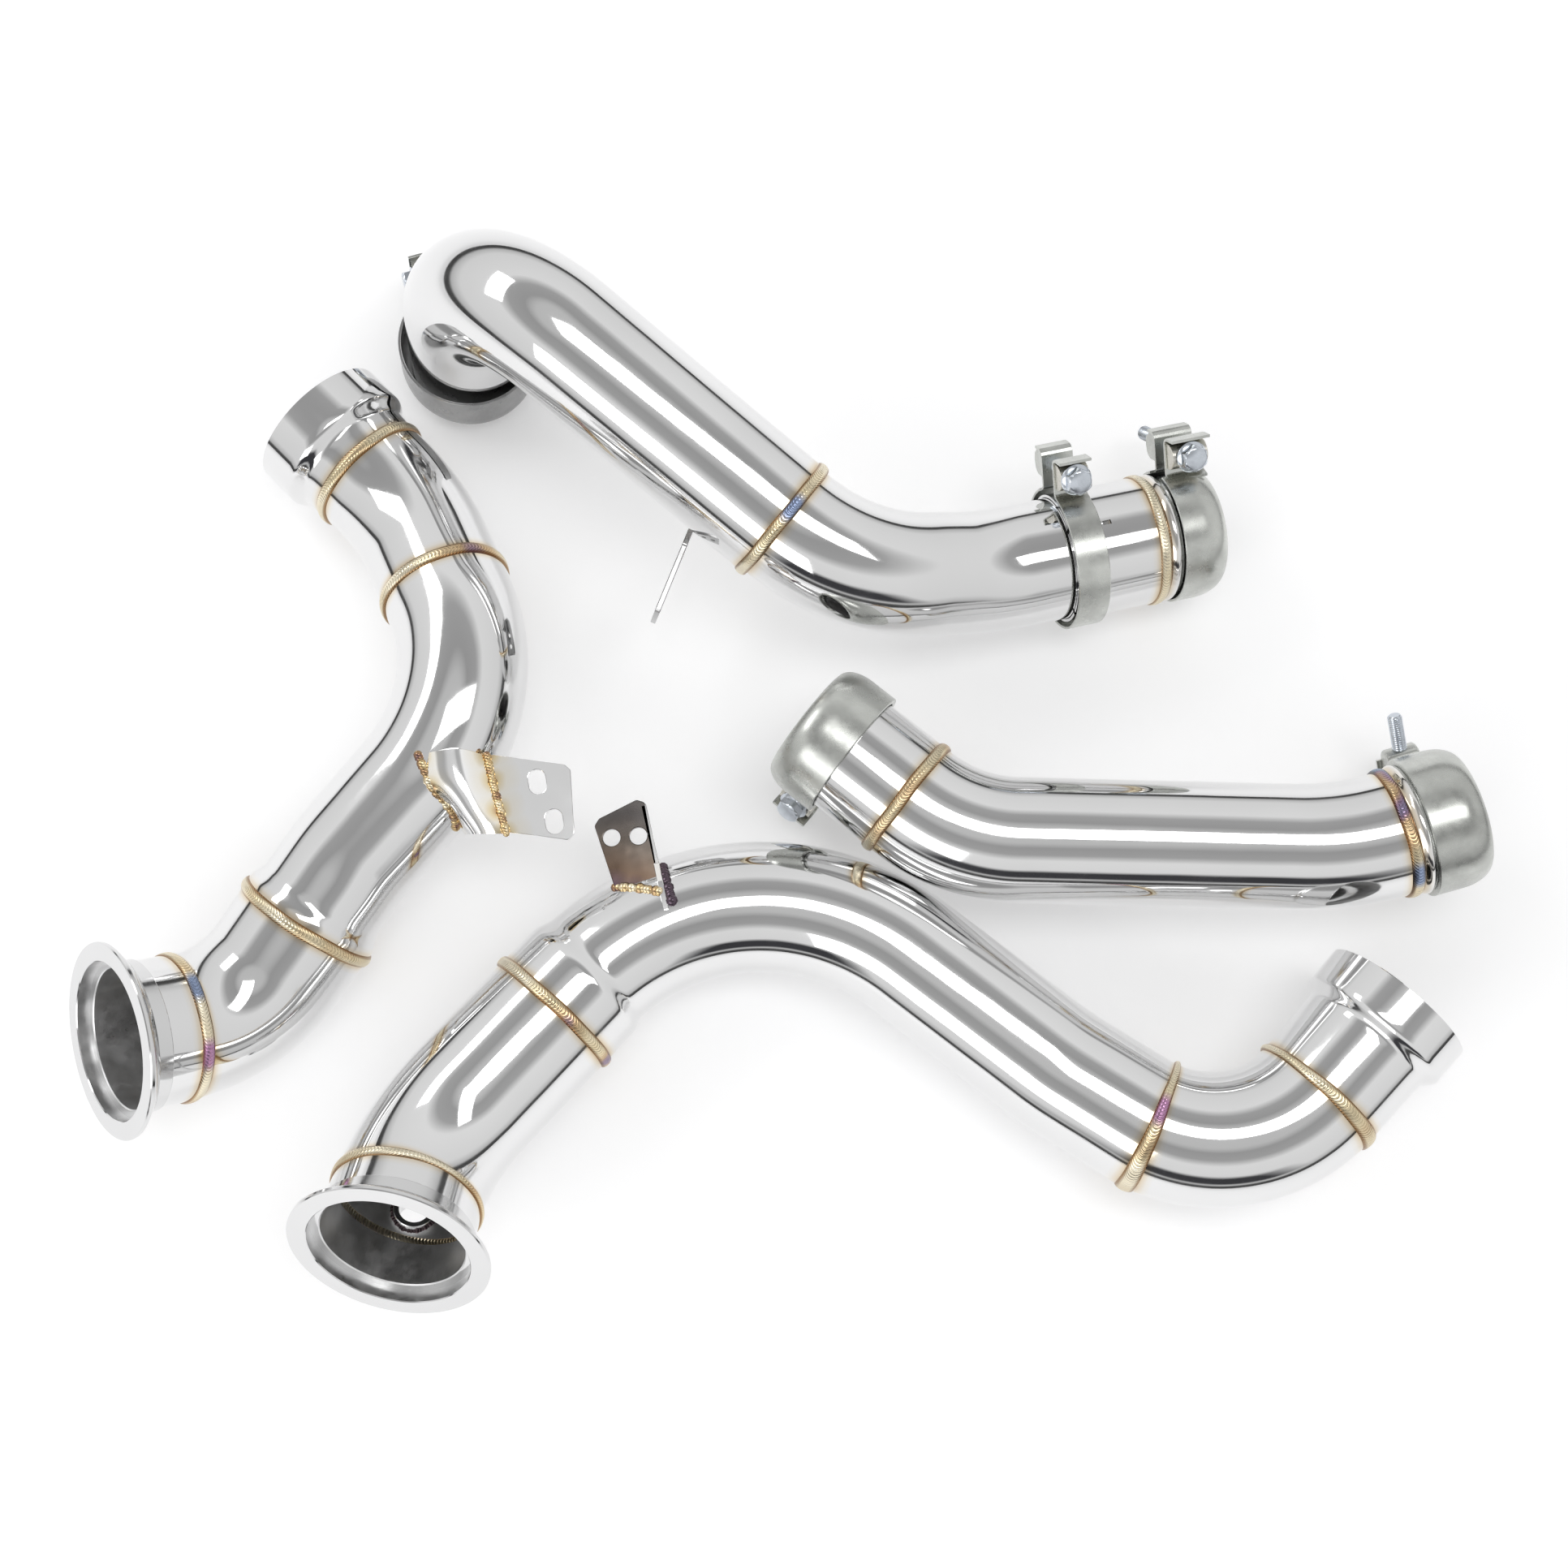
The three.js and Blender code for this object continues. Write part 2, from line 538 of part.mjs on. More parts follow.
function bandBody({ kind, r: outer, gap, width, ear }, flip) {
  const shoulder = CUP_SHOULDER;
  const drop = CUP_DROP;
  const profile = kind === 'cup'
    ? [[0, outer - BAND_T], [0, outer], [width - shoulder, outer],
      [width - shoulder * 0.35, outer - drop * 0.35], [width, outer - drop],
      [width, outer - drop - BAND_T], [width - shoulder, outer - BAND_T]]
    : [[0, outer - BAND_T], [0, outer], [width, outer], [width, outer - BAND_T]];
  const half = gap / 2;
  const top = outer + BOLT_RISE + BLOCK_H / 2 + 1.5;
  const place = (x) => (flip ? width - x : x);
  let solid = toSolid(turnedLocal(profile.map(([x, r]) => [place(x), r]), 24));
  solid = solid.subtract(toSolid(box(-5, width + 5, -half, half, 20, 80)));
  const earLength = Math.min(CUP_EAR, width);
  const ear0 = Math.min(place(ear), place(ear + earLength));
  for (const side of [1, -1]) {
    const y = (v) => side * v;
    const lowZ = outer - 3;
    const flap = side === 1 ? BAR_T + 2 : BLOCK_T * 0.5;
    const pts = [
      [y(half), lowZ], [y(half + BAND_T), lowZ + 0.6], [y(half + BAND_T), top - BAND_T - 1],
      [y(half + BAND_T + 1), top - BAND_T], [y(half + BAND_T + flap), top - BAND_T],
      [y(half + BAND_T + flap), top], [y(half + 1), top], [y(half), top - 1.5],
    ];
    solid = solid.add(toSolid(acrossX(pts, ear0, ear0 + earLength)));
  }
  const x = ear0 + earLength / 2;
  solid = solid.subtract(toSolid(rod(BOLT_R + 0.6, -40, 40, x, outer + BOLT_RISE)));
  return { geometry: toGeometry(solid), x, z: outer + BOLT_RISE, ear0, ear1: ear0 + earLength };
}

function spacerBar(b, gap) {
  const y0 = gap / 2 + BAND_T + GAP;
  const profile = arc(y0 + 2, b.z, BAR_R, -90, 90, 6).map(([y, z]) => [y, z]);
  const pts = [[y0, b.z - BAR_R], ...profile.map(([y, z]) => [Math.min(y, y0 + BAR_T), z]), [y0, b.z + BAR_R]];
  const bar = acrossX(pts, b.ear0 + 1, b.ear1 - 1);
  return toGeometry(toSolid(bar).subtract(toSolid(rod(BOLT_R + 0.4, -40, 40, b.x, b.z))));
}

function nutBlock(b, gap) {
  const y0 = -(gap / 2 + BAND_T + GAP);
  const h = BLOCK_H / 2 - 1.2;
  const t = BLOCK_T;
  const pts = [
    [y0, b.z - h], [y0, b.z + h], [y0 - t + 5, b.z + h], [y0 - t + 1.5, b.z + h - 2.5],
    [y0 - t, b.z + h - 6], [y0 - t, b.z - h + 6], [y0 - t + 1.5, b.z - h + 2.5], [y0 - t + 5, b.z - h],
  ];
  const block = acrossX(pts, b.ear0 + 2, b.ear1 - 2);
  return toGeometry(toSolid(block).subtract(toSolid(rod(BOLT_R + GAP, -60, 60, b.x, b.z))));
}

function bolt(b, gap, tail) {
  const y0 = gap / 2 + BAND_T + GAP + BAR_T + GAP;
  const low = -(gap / 2 + BAND_T + GAP + BLOCK_T + tail);
  const head = new THREE.CylinderGeometry(HEAD_AF / Math.sqrt(3), HEAD_AF / Math.sqrt(3), HEAD_H + 0.2, 6, 1);
  head.translate(b.x, y0 + WASHER_T + HEAD_H / 2 - 0.1, b.z);
  let solid = toSolid(rod(WASHER_R, y0, y0 + WASHER_T, b.x, b.z, 16)).add(toSolid(head));
  solid = solid.add(toSolid(rod(BOLT_R, low, y0 + 0.2, b.x, b.z, 12)));
  return toGeometry(solid);
}

// Clamp places: distance of the open edge along the route, the way the rounded
// edge faces, the clock angle of the bolt (0 is the side vector, 90 is up), the
// band outside radius and width, the distance from its open edge to the ears, the
// opening between them, the free tail of the bolt, and the side its head is on.
const CLAMPS = {
  b_inlet_clamp: {
    route: 'b', s: 39.6, facing: -1, clock: 20, kind: 'cup', r: 39, width: 36, ear: 0, gap: 8, tail: 16, head: 1,
    shift: [-1.6, -1.2],
  },
  b_loose_clamp: {
    route: 'b', s: 483, facing: 1, clock: 38, kind: 'band', r: 39.5, width: 18, ear: 0, gap: 16, tail: 4, head: -1,
  },
  b_outlet_clamp: {
    route: 'b', s: 545.5, facing: 1, clock: 35, kind: 'cup', r: 36.8, width: 27, ear: 3, gap: 12, tail: 24, head: -1,
  },
  c_inlet_clamp: {
    route: 'c', s: 36, facing: -1, clock: -114, kind: 'cup', r: 37.5, width: 31, ear: 0, gap: 12, tail: 6, head: -1,
  },
  c_outlet_clamp: {
    route: 'c', s: 345, facing: 1, clock: -55, kind: 'cup', r: 37.5, width: 31, ear: 4, gap: 8, tail: 20, head: 1,
  },
};

for (const [name, k] of Object.entries(CLAMPS)) {
  const width = k.width;
  const f = levelFrame(ROUTE[k.route], k.s);
  const out = f.side.clone().multiplyScalar(Math.cos(rad(k.clock))).addScaledVector(f.up, Math.sin(rad(k.clock)));
  const x = f.dir.clone().multiplyScalar(k.facing * k.head);
  const y = out.clone().cross(x);
  const [shiftX, shiftY] = k.shift ?? [0, 0];
  const origin = f.pos.clone().add(V(shiftX, shiftY, 0));
  if (k.head < 0) origin.addScaledVector(f.dir, k.facing * width);
  const holder = new THREE.Group();
  holder.applyMatrix4(new THREE.Matrix4().makeBasis(x, y, out).setPosition(origin));
  groups[k.route].add(holder);
  const b = bandBody(k, k.head < 0);
  put(holder, `${name}_band`, b.geometry, SATIN());
  put(holder, `${name}_spacer`, spacerBar(b, k.gap), SPACER());
  put(holder, `${name}_block`, nutBlock(b, k.gap), SATIN());
  put(holder, `${name}_bolt`, bolt(b, k.gap, k.tail), ZINC());
}

export default root;
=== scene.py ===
import math

import bpy
import numpy as np
from mathutils import Matrix, Vector


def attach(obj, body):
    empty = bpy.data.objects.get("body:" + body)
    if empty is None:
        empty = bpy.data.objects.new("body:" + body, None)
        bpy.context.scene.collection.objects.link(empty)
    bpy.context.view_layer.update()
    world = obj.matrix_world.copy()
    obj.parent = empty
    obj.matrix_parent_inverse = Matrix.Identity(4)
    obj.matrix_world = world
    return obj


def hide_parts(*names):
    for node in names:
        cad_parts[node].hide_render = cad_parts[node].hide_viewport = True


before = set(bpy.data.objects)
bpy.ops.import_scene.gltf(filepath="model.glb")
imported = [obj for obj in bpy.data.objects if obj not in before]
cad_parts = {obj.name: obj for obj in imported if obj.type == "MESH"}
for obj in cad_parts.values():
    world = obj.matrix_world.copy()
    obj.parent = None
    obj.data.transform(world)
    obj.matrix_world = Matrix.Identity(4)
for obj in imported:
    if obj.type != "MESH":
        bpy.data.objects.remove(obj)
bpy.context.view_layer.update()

MM = 0.001

# ------------------------------------------------------------------ routes
LAYOUT = np.array([3.154, -13.742, 0.227])
ROUTES = {
    "a": ([[-342, -149, 79.4], [-288, -132, 34.4], [-231, -50, 47.4], [-155, 34, 69.4],
           [-206, 143, 41.4], [-263, 200, 42]], [61, 135, 87, 120]),
    "b": ([[-182.5, 249, 0], [-166, 251, 141], [35.6, 96.5, 79], [110, 107.8, 50],
           [224, 136, 37.5]], [59, 108, 125]),
    "c": ([[8.5, 26, 60.5], [92.5, -41, 57.5], [295, -46, 57], [354, -29.5, 63]], [92, 168]),
    "d": ([[-193, -252.5, 96], [-184, -201, 57], [-27, -29, 34.5], [143, -160, 36],
           [235.5, -219, 46], [318, -129.5, 50.5]], [90, 129, 141, 75]),
}
BODY = {"a": "rear_downpipe", "b": "rear_mid_pipe", "c": "short_mid_pipe", "d": "front_downpipe"}
LARGE_R, SMALL_R, MID_R, LINK_R, SLIP_R, SOCKET_R = 38.0, 35.0, 33.6, 33.5, 35.4, 41.0
WALL = 1.5
UP = np.array([0.0, 0.0, 1.0])


def unit(v):
    return v / np.linalg.norm(v)


def spun(v, axis, angle):
    """v turned about axis."""
    return (v * math.cos(angle) + np.cross(axis, v) * math.sin(angle)
            + axis * (axis @ v) * (1 - math.cos(angle)))


class Route:
    """A bent tube's centre line: straight runs joined by arcs."""

    def __init__(self, corners, radii):
        pts = [np.array(c, float) + LAYOUT for c in corners]
        self.pieces, self.length = [], 0.0
        start, way = pts[0], unit(pts[1] - pts[0])
        side = np.cross(UP, way)
        side = np.array([0.0, 1.0, 0.0]) if np.linalg.norm(side) < 0.3 else side
        side = unit(side - way * (way @ side))
        for i in range(1, len(pts)):
            nxt = unit(pts[i + 1] - pts[i]) if i + 1 < len(pts) else None
            angle = math.acos(max(-1, min(1, way @ nxt))) if nxt is not None else 0
            back = radii[i - 1] * math.tan(angle / 2) if nxt is not None else 0
            end = pts[i] - way * back
            self.add(start, way, side, np.linalg.norm(end - start))
            if nxt is None:
                break
            axis = unit(np.cross(way, nxt))
            self.add(end, way, side, radii[i - 1] * angle, axis, radii[i - 1])
            side = spun(side, axis, angle)
            start, way = pts[i] + nxt * back, nxt

    def add(self, start, way, side, length, axis=None, radius=0.0):
        self.pieces.append((self.length, length, start, way, side, axis, radius))
        self.length += length

    def at(self, s):
        piece = next((p for p in self.pieces if s <= p[0] + p[1]), self.pieces[-1])
        begin, _, start, way, side, axis, radius = piece
        d = s - begin
        if axis is None:
            pos = start + way * d
        else:
            turn = d / radius
            inward = np.cross(axis, way)
            pos = start + way * radius * math.sin(turn) + inward * radius * (1 - math.cos(turn))
            way, side = spun(way, axis, turn), spun(side, axis, turn)
        return pos, way, side, np.cross(way, side)

    def level(self, s):
        pos, way, side, _ = self.at(s)
        flat = np.cross(UP, way)
        if np.linalg.norm(flat) > 0.3:
            side = unit(flat)
        return pos, way, side, np.cross(way, side)

    def snap(self, p, r):
        """p moved straight to the tube's surface of radius r."""
        p = np.array(p, float)
        marks = np.linspace(0, self.length, 800)
        near = min(marks, key=lambda s: np.linalg.norm(self.at(s)[0] - p))
        centre = self.at(near)[0]
        return centre + unit(p - centre) * r


ROUTE = {k: Route(*v) for k, v in ROUTES.items()}


# ------------------------------------------------------------------ materials
def material(name, metallic):
    m = bpy.data.materials.new(name)
    m.use_nodes = True
    nt = m.node_tree
    nt.nodes.clear()
    out = nt.nodes.new("ShaderNodeOutputMaterial")
    p = nt.nodes.new("ShaderNodeBsdfPrincipled")
    nt.links.new(p.outputs[0], out.inputs["Surface"])
    p.inputs["Metallic"].default_value = metallic
    return m, nt, p


def node(nt, kind, **values):
    n = nt.nodes.new("ShaderNode" + kind)
    for key, value in values.items():
        if hasattr(n, key) and not key[0].isupper():
            setattr(n, key, value)
        else:
            n.inputs[key.replace("_", " ")].default_value = value
    return n


def ramp(nt, source, stops):
    n = nt.nodes.new("ShaderNodeValToRGB")
    nt.links.new(source, n.inputs[0])
    e = n.color_ramp.elements
    while len(e) < len(stops):
        e.new(0.5)
    for item, (pos, colour) in zip(e, stops):
        item.position = pos
        item.color = (*colour, 1) if len(colour) == 3 else colour
    return n


def grey(v):
    return (v, v, v)


def noise(nt, coords, scale, detail=3.0, rough=0.55, distortion=0.0):
    n = node(nt, "TexNoise", Scale=scale, Detail=detail, Roughness=rough, Distortion=distortion)
    nt.links.new(coords, n.inputs["Vector"])
    return n.outputs["Fac"]


def mix(nt, fac, a, b, kind="MIX"):
    n = node(nt, "Mix", data_type="RGBA", blend_type=kind)
    for value, socket in ((fac, n.inputs[0]), (a, n.inputs[6]), (b, n.inputs[7])):
        if hasattr(value, "links"):
            nt.links.new(value, socket)
        else:
            socket.default_value = value if isinstance(value, float) else (*value, 1)
    return n.outputs[2]


def maths(nt, op, a, b=None):
    n = node(nt, "Math", operation=op)
    for value, socket in ((a, n.inputs[0]), (b, n.inputs[1])):
        if value is None:
            continue
        if hasattr(value, "links"):
            nt.links.new(value, socket)
        else:
            socket.default_value = value
    return n.outputs[0]


def bump(nt, p, height, strength, distance):
    n = node(nt, "Bump", Strength=strength, Distance=distance)
    nt.links.new(height, n.inputs["Height"])
    nt.links.new(n.outputs[0], p.inputs["Normal"])


def place(nt):
    return nt.nodes.new("ShaderNodeTexCoord").outputs["Object"]


def polished(name="polished_steel", base=0.80, rough=0.06):
    """Mirror polished stainless, straw coloured where it was welded."""
    m, nt, p = material(name, 1.0)
    at = place(nt)
    weld = node(nt, "Attribute", attribute_name="weld").outputs["Fac"]
    patch = noise(nt, at, 22, 2, 0.5)
    spread = maths(nt, "ADD", weld, maths(nt, "MULTIPLY", maths(nt, "SUBTRACT", patch, 0.5), 0.09))
    heat = ramp(nt, spread, [(0.0, (0.60, 0.48, 0.33)), (0.035, (0.72, 0.63, 0.50)),
                             (0.10, (0.79, 0.765, 0.72)), (0.17, grey(base))])
    clouds = ramp(nt, noise(nt, at, 9, 3, 0.5), [(0.3, grey(0.93)), (0.7, grey(1.0))])
    colour = mix(nt, 1.0, heat.outputs[0], clouds.outputs[0], "MULTIPLY")
    nt.links.new(colour, p.inputs["Base Color"])
    smear = ramp(nt, noise(nt, at, 34, 5, 0.65, 0.6), [(0.35, grey(rough * 0.6)), (0.75, grey(rough * 1.9))])
    nt.links.new(smear.outputs[0], p.inputs["Roughness"])
    bump(nt, p, noise(nt, at, 16, 2, 0.45), 0.35, 0.0009)
    return m


def closest(nt, at, marks):
    """Distance to the nearest of some points given in millimetres."""
    near = None
    for mark in marks:
        d = node(nt, "VectorMath", operation="DISTANCE")
        nt.links.new(at, d.inputs[0])
        d.inputs[1].default_value = [float(v) * MM for v in mark]
        near = d.outputs["Value"] if near is None else maths(nt, "MINIMUM", near, d.outputs["Value"])
    return near


def tig(name="weld_bead", burnt=False):
    """Straw coloured TIG bead with blue and purple patches and a ripple for each dab, with painted shade
    darkening each ripple's trough.
    """
    m, nt, p = material(name, 1.0)
    at = place(nt)
    patch = noise(nt, at, 17, 2, 0.5, 0.4)
    stops = [(0.27, (0.16, 0.24, 0.36)), (0.31, (0.30, 0.20, 0.30)), (0.35, (0.60, 0.42, 0.24)),
             (0.43, (0.76, 0.64, 0.42)), (0.56, (0.88, 0.80, 0.62)), (0.75, (0.80, 0.70, 0.50))]
    if burnt:
        patch = noise(nt, at, 90, 2, 0.5, 0.4)
        stops = [(0.32, (0.14, 0.09, 0.14)), (0.42, (0.34, 0.20, 0.12)), (0.52, (0.68, 0.50, 0.26)),
                 (0.64, (0.92, 0.83, 0.62))]
    colours = ramp(nt, patch, stops)
    hue = colours.outputs[0]
    uv = nt.nodes.new("ShaderNodeUVMap")
    split = nt.nodes.new("ShaderNodeSeparateXYZ")
    nt.links.new(uv.outputs[0], split.inputs[0])
    bow = maths(nt, "MULTIPLY", maths(nt, "POWER", split.outputs[1], 2.0), 1.6)
    phase = maths(nt, "MULTIPLY", maths(nt, "ADD", split.outputs[0], bow), 2 * math.pi)
    wave = maths(nt, "SINE", phase)
    crest = maths(nt, "ADD", maths(nt, "MULTIPLY", wave, 0.5), 0.5)
    # painted shade: the colour is darkened to 0.8 in each ripple's trough
    painted_ripple_shade = ramp(nt, crest, [(0, grey(0.80)), (0.6, grey(1.0))])
    across = maths(nt, "ABSOLUTE", split.outputs[1])
    rim = ramp(nt, across, [(0.62, grey(1.0)), (0.98, (0.42, 0.29, 0.19))])
    for shade_of, marks in (((0.16, 0.27, 0.52), BLUE_MARKS), ((0.42, 0.16, 0.42), PURPLE_MARKS)):
        away = maths(nt, "MULTIPLY", closest(nt, at, marks), 40.0)
        patch_of = ramp(nt, away, [(0.20, grey(0.80)), (0.42, grey(0.0))])
        hue = mix(nt, patch_of.outputs[0], hue, shade_of)
    # the painted ripple shade multiplies the bead's colour
    hue_with_painted_ripple_shade = mix(nt, 1.0, hue, painted_ripple_shade.outputs[0], "MULTIPLY")
    nt.links.new(mix(nt, 1.0, hue_with_painted_ripple_shade, rim.outputs[0], "MULTIPLY"), p.inputs["Base Color"])
    gloss = ramp(nt, noise(nt, at, 60, 2), [(0.3, grey(0.17)), (0.7, grey(0.28))])
    nt.links.new(gloss.outputs[0], p.inputs["Roughness"])
    bump(nt, p, wave, 0.4, 0.00022)
    return m


def satin(name, low, high, rough=0.36, mottle=45.0, tone=(1, 1, 1)):
    """Rolled or tumbled steel: mottled grey, finely scratched."""
    m, nt, p = material(name, 1.0)
    at = place(nt)
    blotch = noise(nt, at, mottle, 4, 0.6, 0.3)
    lo = tuple(low * t for t in tone)
    hi = tuple(high * t for t in tone)
    c = ramp(nt, blotch, [(0.3, lo), (0.7, hi)])
    nt.links.new(c.outputs[0], p.inputs["Base Color"])
    r = ramp(nt, noise(nt, at, 90, 4, 0.7), [(0.3, grey(rough * 0.75)), (0.7, grey(rough * 1.3))])
    nt.links.new(r.outputs[0], p.inputs["Roughness"])
    bump(nt, p, noise(nt, at, 900, 3, 0.7), 0.08, 0.00005)
    return m


def tinted(name, rough, marks, shades, spread=40.0):
    """Polished plate with a weld's colours fading away from its marks (mm)."""
    m, nt, p = material(name, 1.0)
    at = place(nt)
    wavy = maths(nt, "MULTIPLY", maths(nt, "SUBTRACT", noise(nt, at, 55, 2), 0.5), 0.006)
    reach = maths(nt, "MULTIPLY", maths(nt, "ADD", closest(nt, at, marks), wavy), spread)
    c = ramp(nt, reach, shades)
    nt.links.new(c.outputs[0], p.inputs["Base Color"])
    r = ramp(nt, noise(nt, at, 70, 4, 0.6), [(0.3, grey(rough * 0.7)), (0.7, grey(rough * 1.6))])
    nt.links.new(r.outputs[0], p.inputs["Roughness"])
    bump(nt, p, noise(nt, at, 40, 2), 0.3, 0.0004)
    return m


def around(key, s, r, angle):
    """The point on a tube at a distance along its route and an angle from its level side."""
    pos, _, side, up = ROUTE[key].level(s)
    return pos + r * (side * math.cos(math.radians(angle)) + up * math.sin(math.radians(angle)))


def near_layout(*points):
    return [LAYOUT + np.array(q) for q in points]


BLUE_MARKS = [around("a", 35.7, 39.8, 71), around("b", 319.5, 36.6, 92), around("c", 335.5, 35.3, 140)]
PURPLE_MARKS = [around("a", 35.7, 39.8, 125), around("d", 521.8, 36.8, 80)]
STRAW = [(0.0, (0.46, 0.30, 0.30)), (0.07, (0.66, 0.44, 0.24)), (0.16, (0.88, 0.74, 0.48)),
         (0.32, (0.97, 0.93, 0.84)), (0.6, grey(0.98))]
SMOKE = [(0.0, (0.09, 0.06, 0.08)), (0.25, (0.13, 0.09, 0.065)), (0.6, (0.15, 0.125, 0.105)),
         (1.0, (0.13, 0.12, 0.115))]
SOOT = [(0.0, (0.12, 0.09, 0.12)), (1.0, (0.09, 0.065, 0.07))]

POLISHED = polished()
INNER = polished("polished_flange", 0.72, 0.11)
HANGER = polished("hanger_plate", 0.42, 0.14)
PLATE = tinted("bracket_plate", 0.07, near_layout(
    (-154, -3, 86), (-151, -15, 86), (-147, -31, 86), (-143, -43, 86), (-187, -4, 92), (-182, -20, 90),
    (-172, -32, 76)), STRAW)
DARK_PLATE = tinted("dark_bracket_plate", 0.12, near_layout(
    (-88, -66, 68), (-78, -70, 68), (-66, -74, 68)), SMOKE, 28.0)
LEG_PLATE = tinted("bracket_leg", 0.08, near_layout((-62, -66, 60), (-60, -78, 56)), STRAW)
BORE = satin("bore_steel", 0.70, 0.86, 0.36, 50)
WELD = tig()
BURNT = tig("burnt_weld", True)
DARK_WELD = tinted("dark_weld", 0.2, [around("d", 230, 30, 90)], SOOT, 20.0)
SATIN = satin("satin_steel", 0.42, 0.66, 0.27, 30, (0.98, 1.0, 0.95))
DARK_SATIN = satin("dark_satin_steel", 0.26, 0.40, 0.30)
SPACER = satin("spacer_steel", 0.60, 0.72, 0.28, 60, (1, 0.97, 0.88))
ZINC = satin("zinc_bolt", 0.58, 0.74, 0.2, 80, (0.92, 0.98, 1.06))


# ------------------------------------------------------------------ mesh helpers
def make(name, verts, faces, mat, body, nodes=(), sharp=32, weld=None, uvs=None, bore=None):
    """A piece from vertices in millimetres."""
    mesh = bpy.data.meshes.new(name)
    mesh.from_pydata((np.asarray(verts) * MM).tolist(), [], faces)
    if weld is not None:
        mesh.attributes.new("weld", "FLOAT", "POINT").data.foreach_set("value", np.asarray(weld, np.float32))
    if uvs is not None:
        layer = mesh.uv_layers.new(name="UVMap")
        layer.data.foreach_set("uv", np.asarray(uvs, np.float32).ravel())
    mesh.materials.append(mat)
    if bore is not None:
        mesh.materials.append(BORE)
        mesh.polygons.foreach_set("material_index", bore)
    mesh.shade_smooth()
    mesh.set_sharp_from_angle(angle=math.radians(sharp))
    o = bpy.data.objects.new(name, mesh)
    bpy.context.scene.collection.objects.link(o)
    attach(o, body)
    if nodes:
        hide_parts(*nodes)
    return o


def sweep(name, route, profile, mat, body, slot, nodes, welds=(), sides=96, step=2.5, sharp=32,
          ripple=0, wobble=0.0):
    """A closed profile of (distance, radius) corners carried along a route."""
    rows, inside = [], []
    n = len(profile)
    for i, (s0, r0) in enumerate(profile):
        s1, r1 = profile[(i + 1) % n]
        count = max(1, int(abs(s1 - s0) / step))
        for k in range(count):
            f = k / count
            rows.append((s0 + (s1 - s0) * f, r0 + (r1 - r0) * f))
            inside.append(int(s1 < s0 - 0.5 and not ripple))
    turn = np.arange(sides) * 2 * math.pi / sides
    shift = wobble * (np.sin(turn * 3 + 1.1) + 0.6 * np.sin(turn * 7 + 0.3)) if wobble else np.zeros(sides)
    verts, weld = [], []
    for s, r in rows:
        pos, way, side, up = route.at(s)
        ring = pos + r * (np.outer(np.cos(turn), side) + np.outer(np.sin(turn), up)) + np.outer(shift, way)
        verts.append(ring)
        gap = min([abs(s - w) for w in welds] or [99.0]) / 30.0
        weld.append(np.full(sides, min(1.0, max(0.0, gap - 0.1))))
    faces, uvs = [], []
    count = len(rows)
    for i in range(count):
        j = (i + 1) % count
        for k in range(sides):
            l = (k + 1) % sides
            faces.append((i * sides + k, i * sides + l, j * sides + l, j * sides + k))
            if ripple:
                u0, u1 = k / sides * ripple, (k + 1) / sides * ripple
                v0 = (rows[i][0] - welds[0]) / 3.0
                v1 = (rows[j][0] - welds[0]) / 3.0
                uvs.extend([(u0, v0), (u1, v0), (u1, v1), (u0, v1)])
    v = np.concatenate(verts)
    area = 0.0
    for i in range(count):
        j = (i + 1) % count
        area += rows[i][0] * rows[j][1] - rows[j][0] * rows[i][1]
    if area > 0:
        faces = [f[::-1] for f in faces]
        if uvs:
            uvs = [uvs[q + (3 - w)] for q in range(0, len(uvs), 4) for w in range(4)]
    bore = np.repeat(np.array(inside, np.int32), sides) if any(inside) else None
    return make(name, v, faces, mat, body, nodes, sharp, np.concatenate(weld), uvs or None, bore)


def pipe(name, key, s0, s1, r, nodes, welds, mat=None, wall=WALL, **more):
    return sweep(name, ROUTE[key], [(s0, r), (s1, r), (s1, r - wall), (s0, r - wall)], mat or POLISHED,
                 BODY[key], "polished_steel", nodes, welds, **more)


def ring_bead(name, key, s, r, node_name):
    """A crowned weld ring with its ripples."""
    crown = [(s + 3.5 * math.cos(a), r - 0.35 + 2.1 * math.sin(a)) for a in np.linspace(math.pi, 0, 13)]
    profile = [(s - 3.4, r - 1.4)] + crown + [(s + 3.4, r - 1.4)]
    sweep(name, ROUTE[key], profile, WELD, BODY[key], "weld", [node_name], [s], sides=144, step=50,
          sharp=60, ripple=int(2 * math.pi * r / 1.9), wobble=0.22)


def fillet(points, radius, n=5):
    """A polygon's corners rounded."""
    pts = [np.array(p, float) for p in points]
    out = []
    for i, p in enumerate(pts):
        a, b = pts[i - 1] - p, pts[(i + 1) % len(pts)] - p
        la, lb = np.linalg.norm(a), np.linalg.norm(b)
        a, b = a / la, b / lb
        angle = math.acos(max(-1, min(1, a @ b)))
        if angle > 3.0:
            out.append(p)
            continue
        d = min(radius / math.tan(angle / 2), la * 0.45, lb * 0.45)
        for t in np.linspace(0, 1, n):
            out.append((p + a * d) * (1 - t) ** 2 + p * 2 * t * (1 - t) + (p + b * d) * t ** 2)
    return out


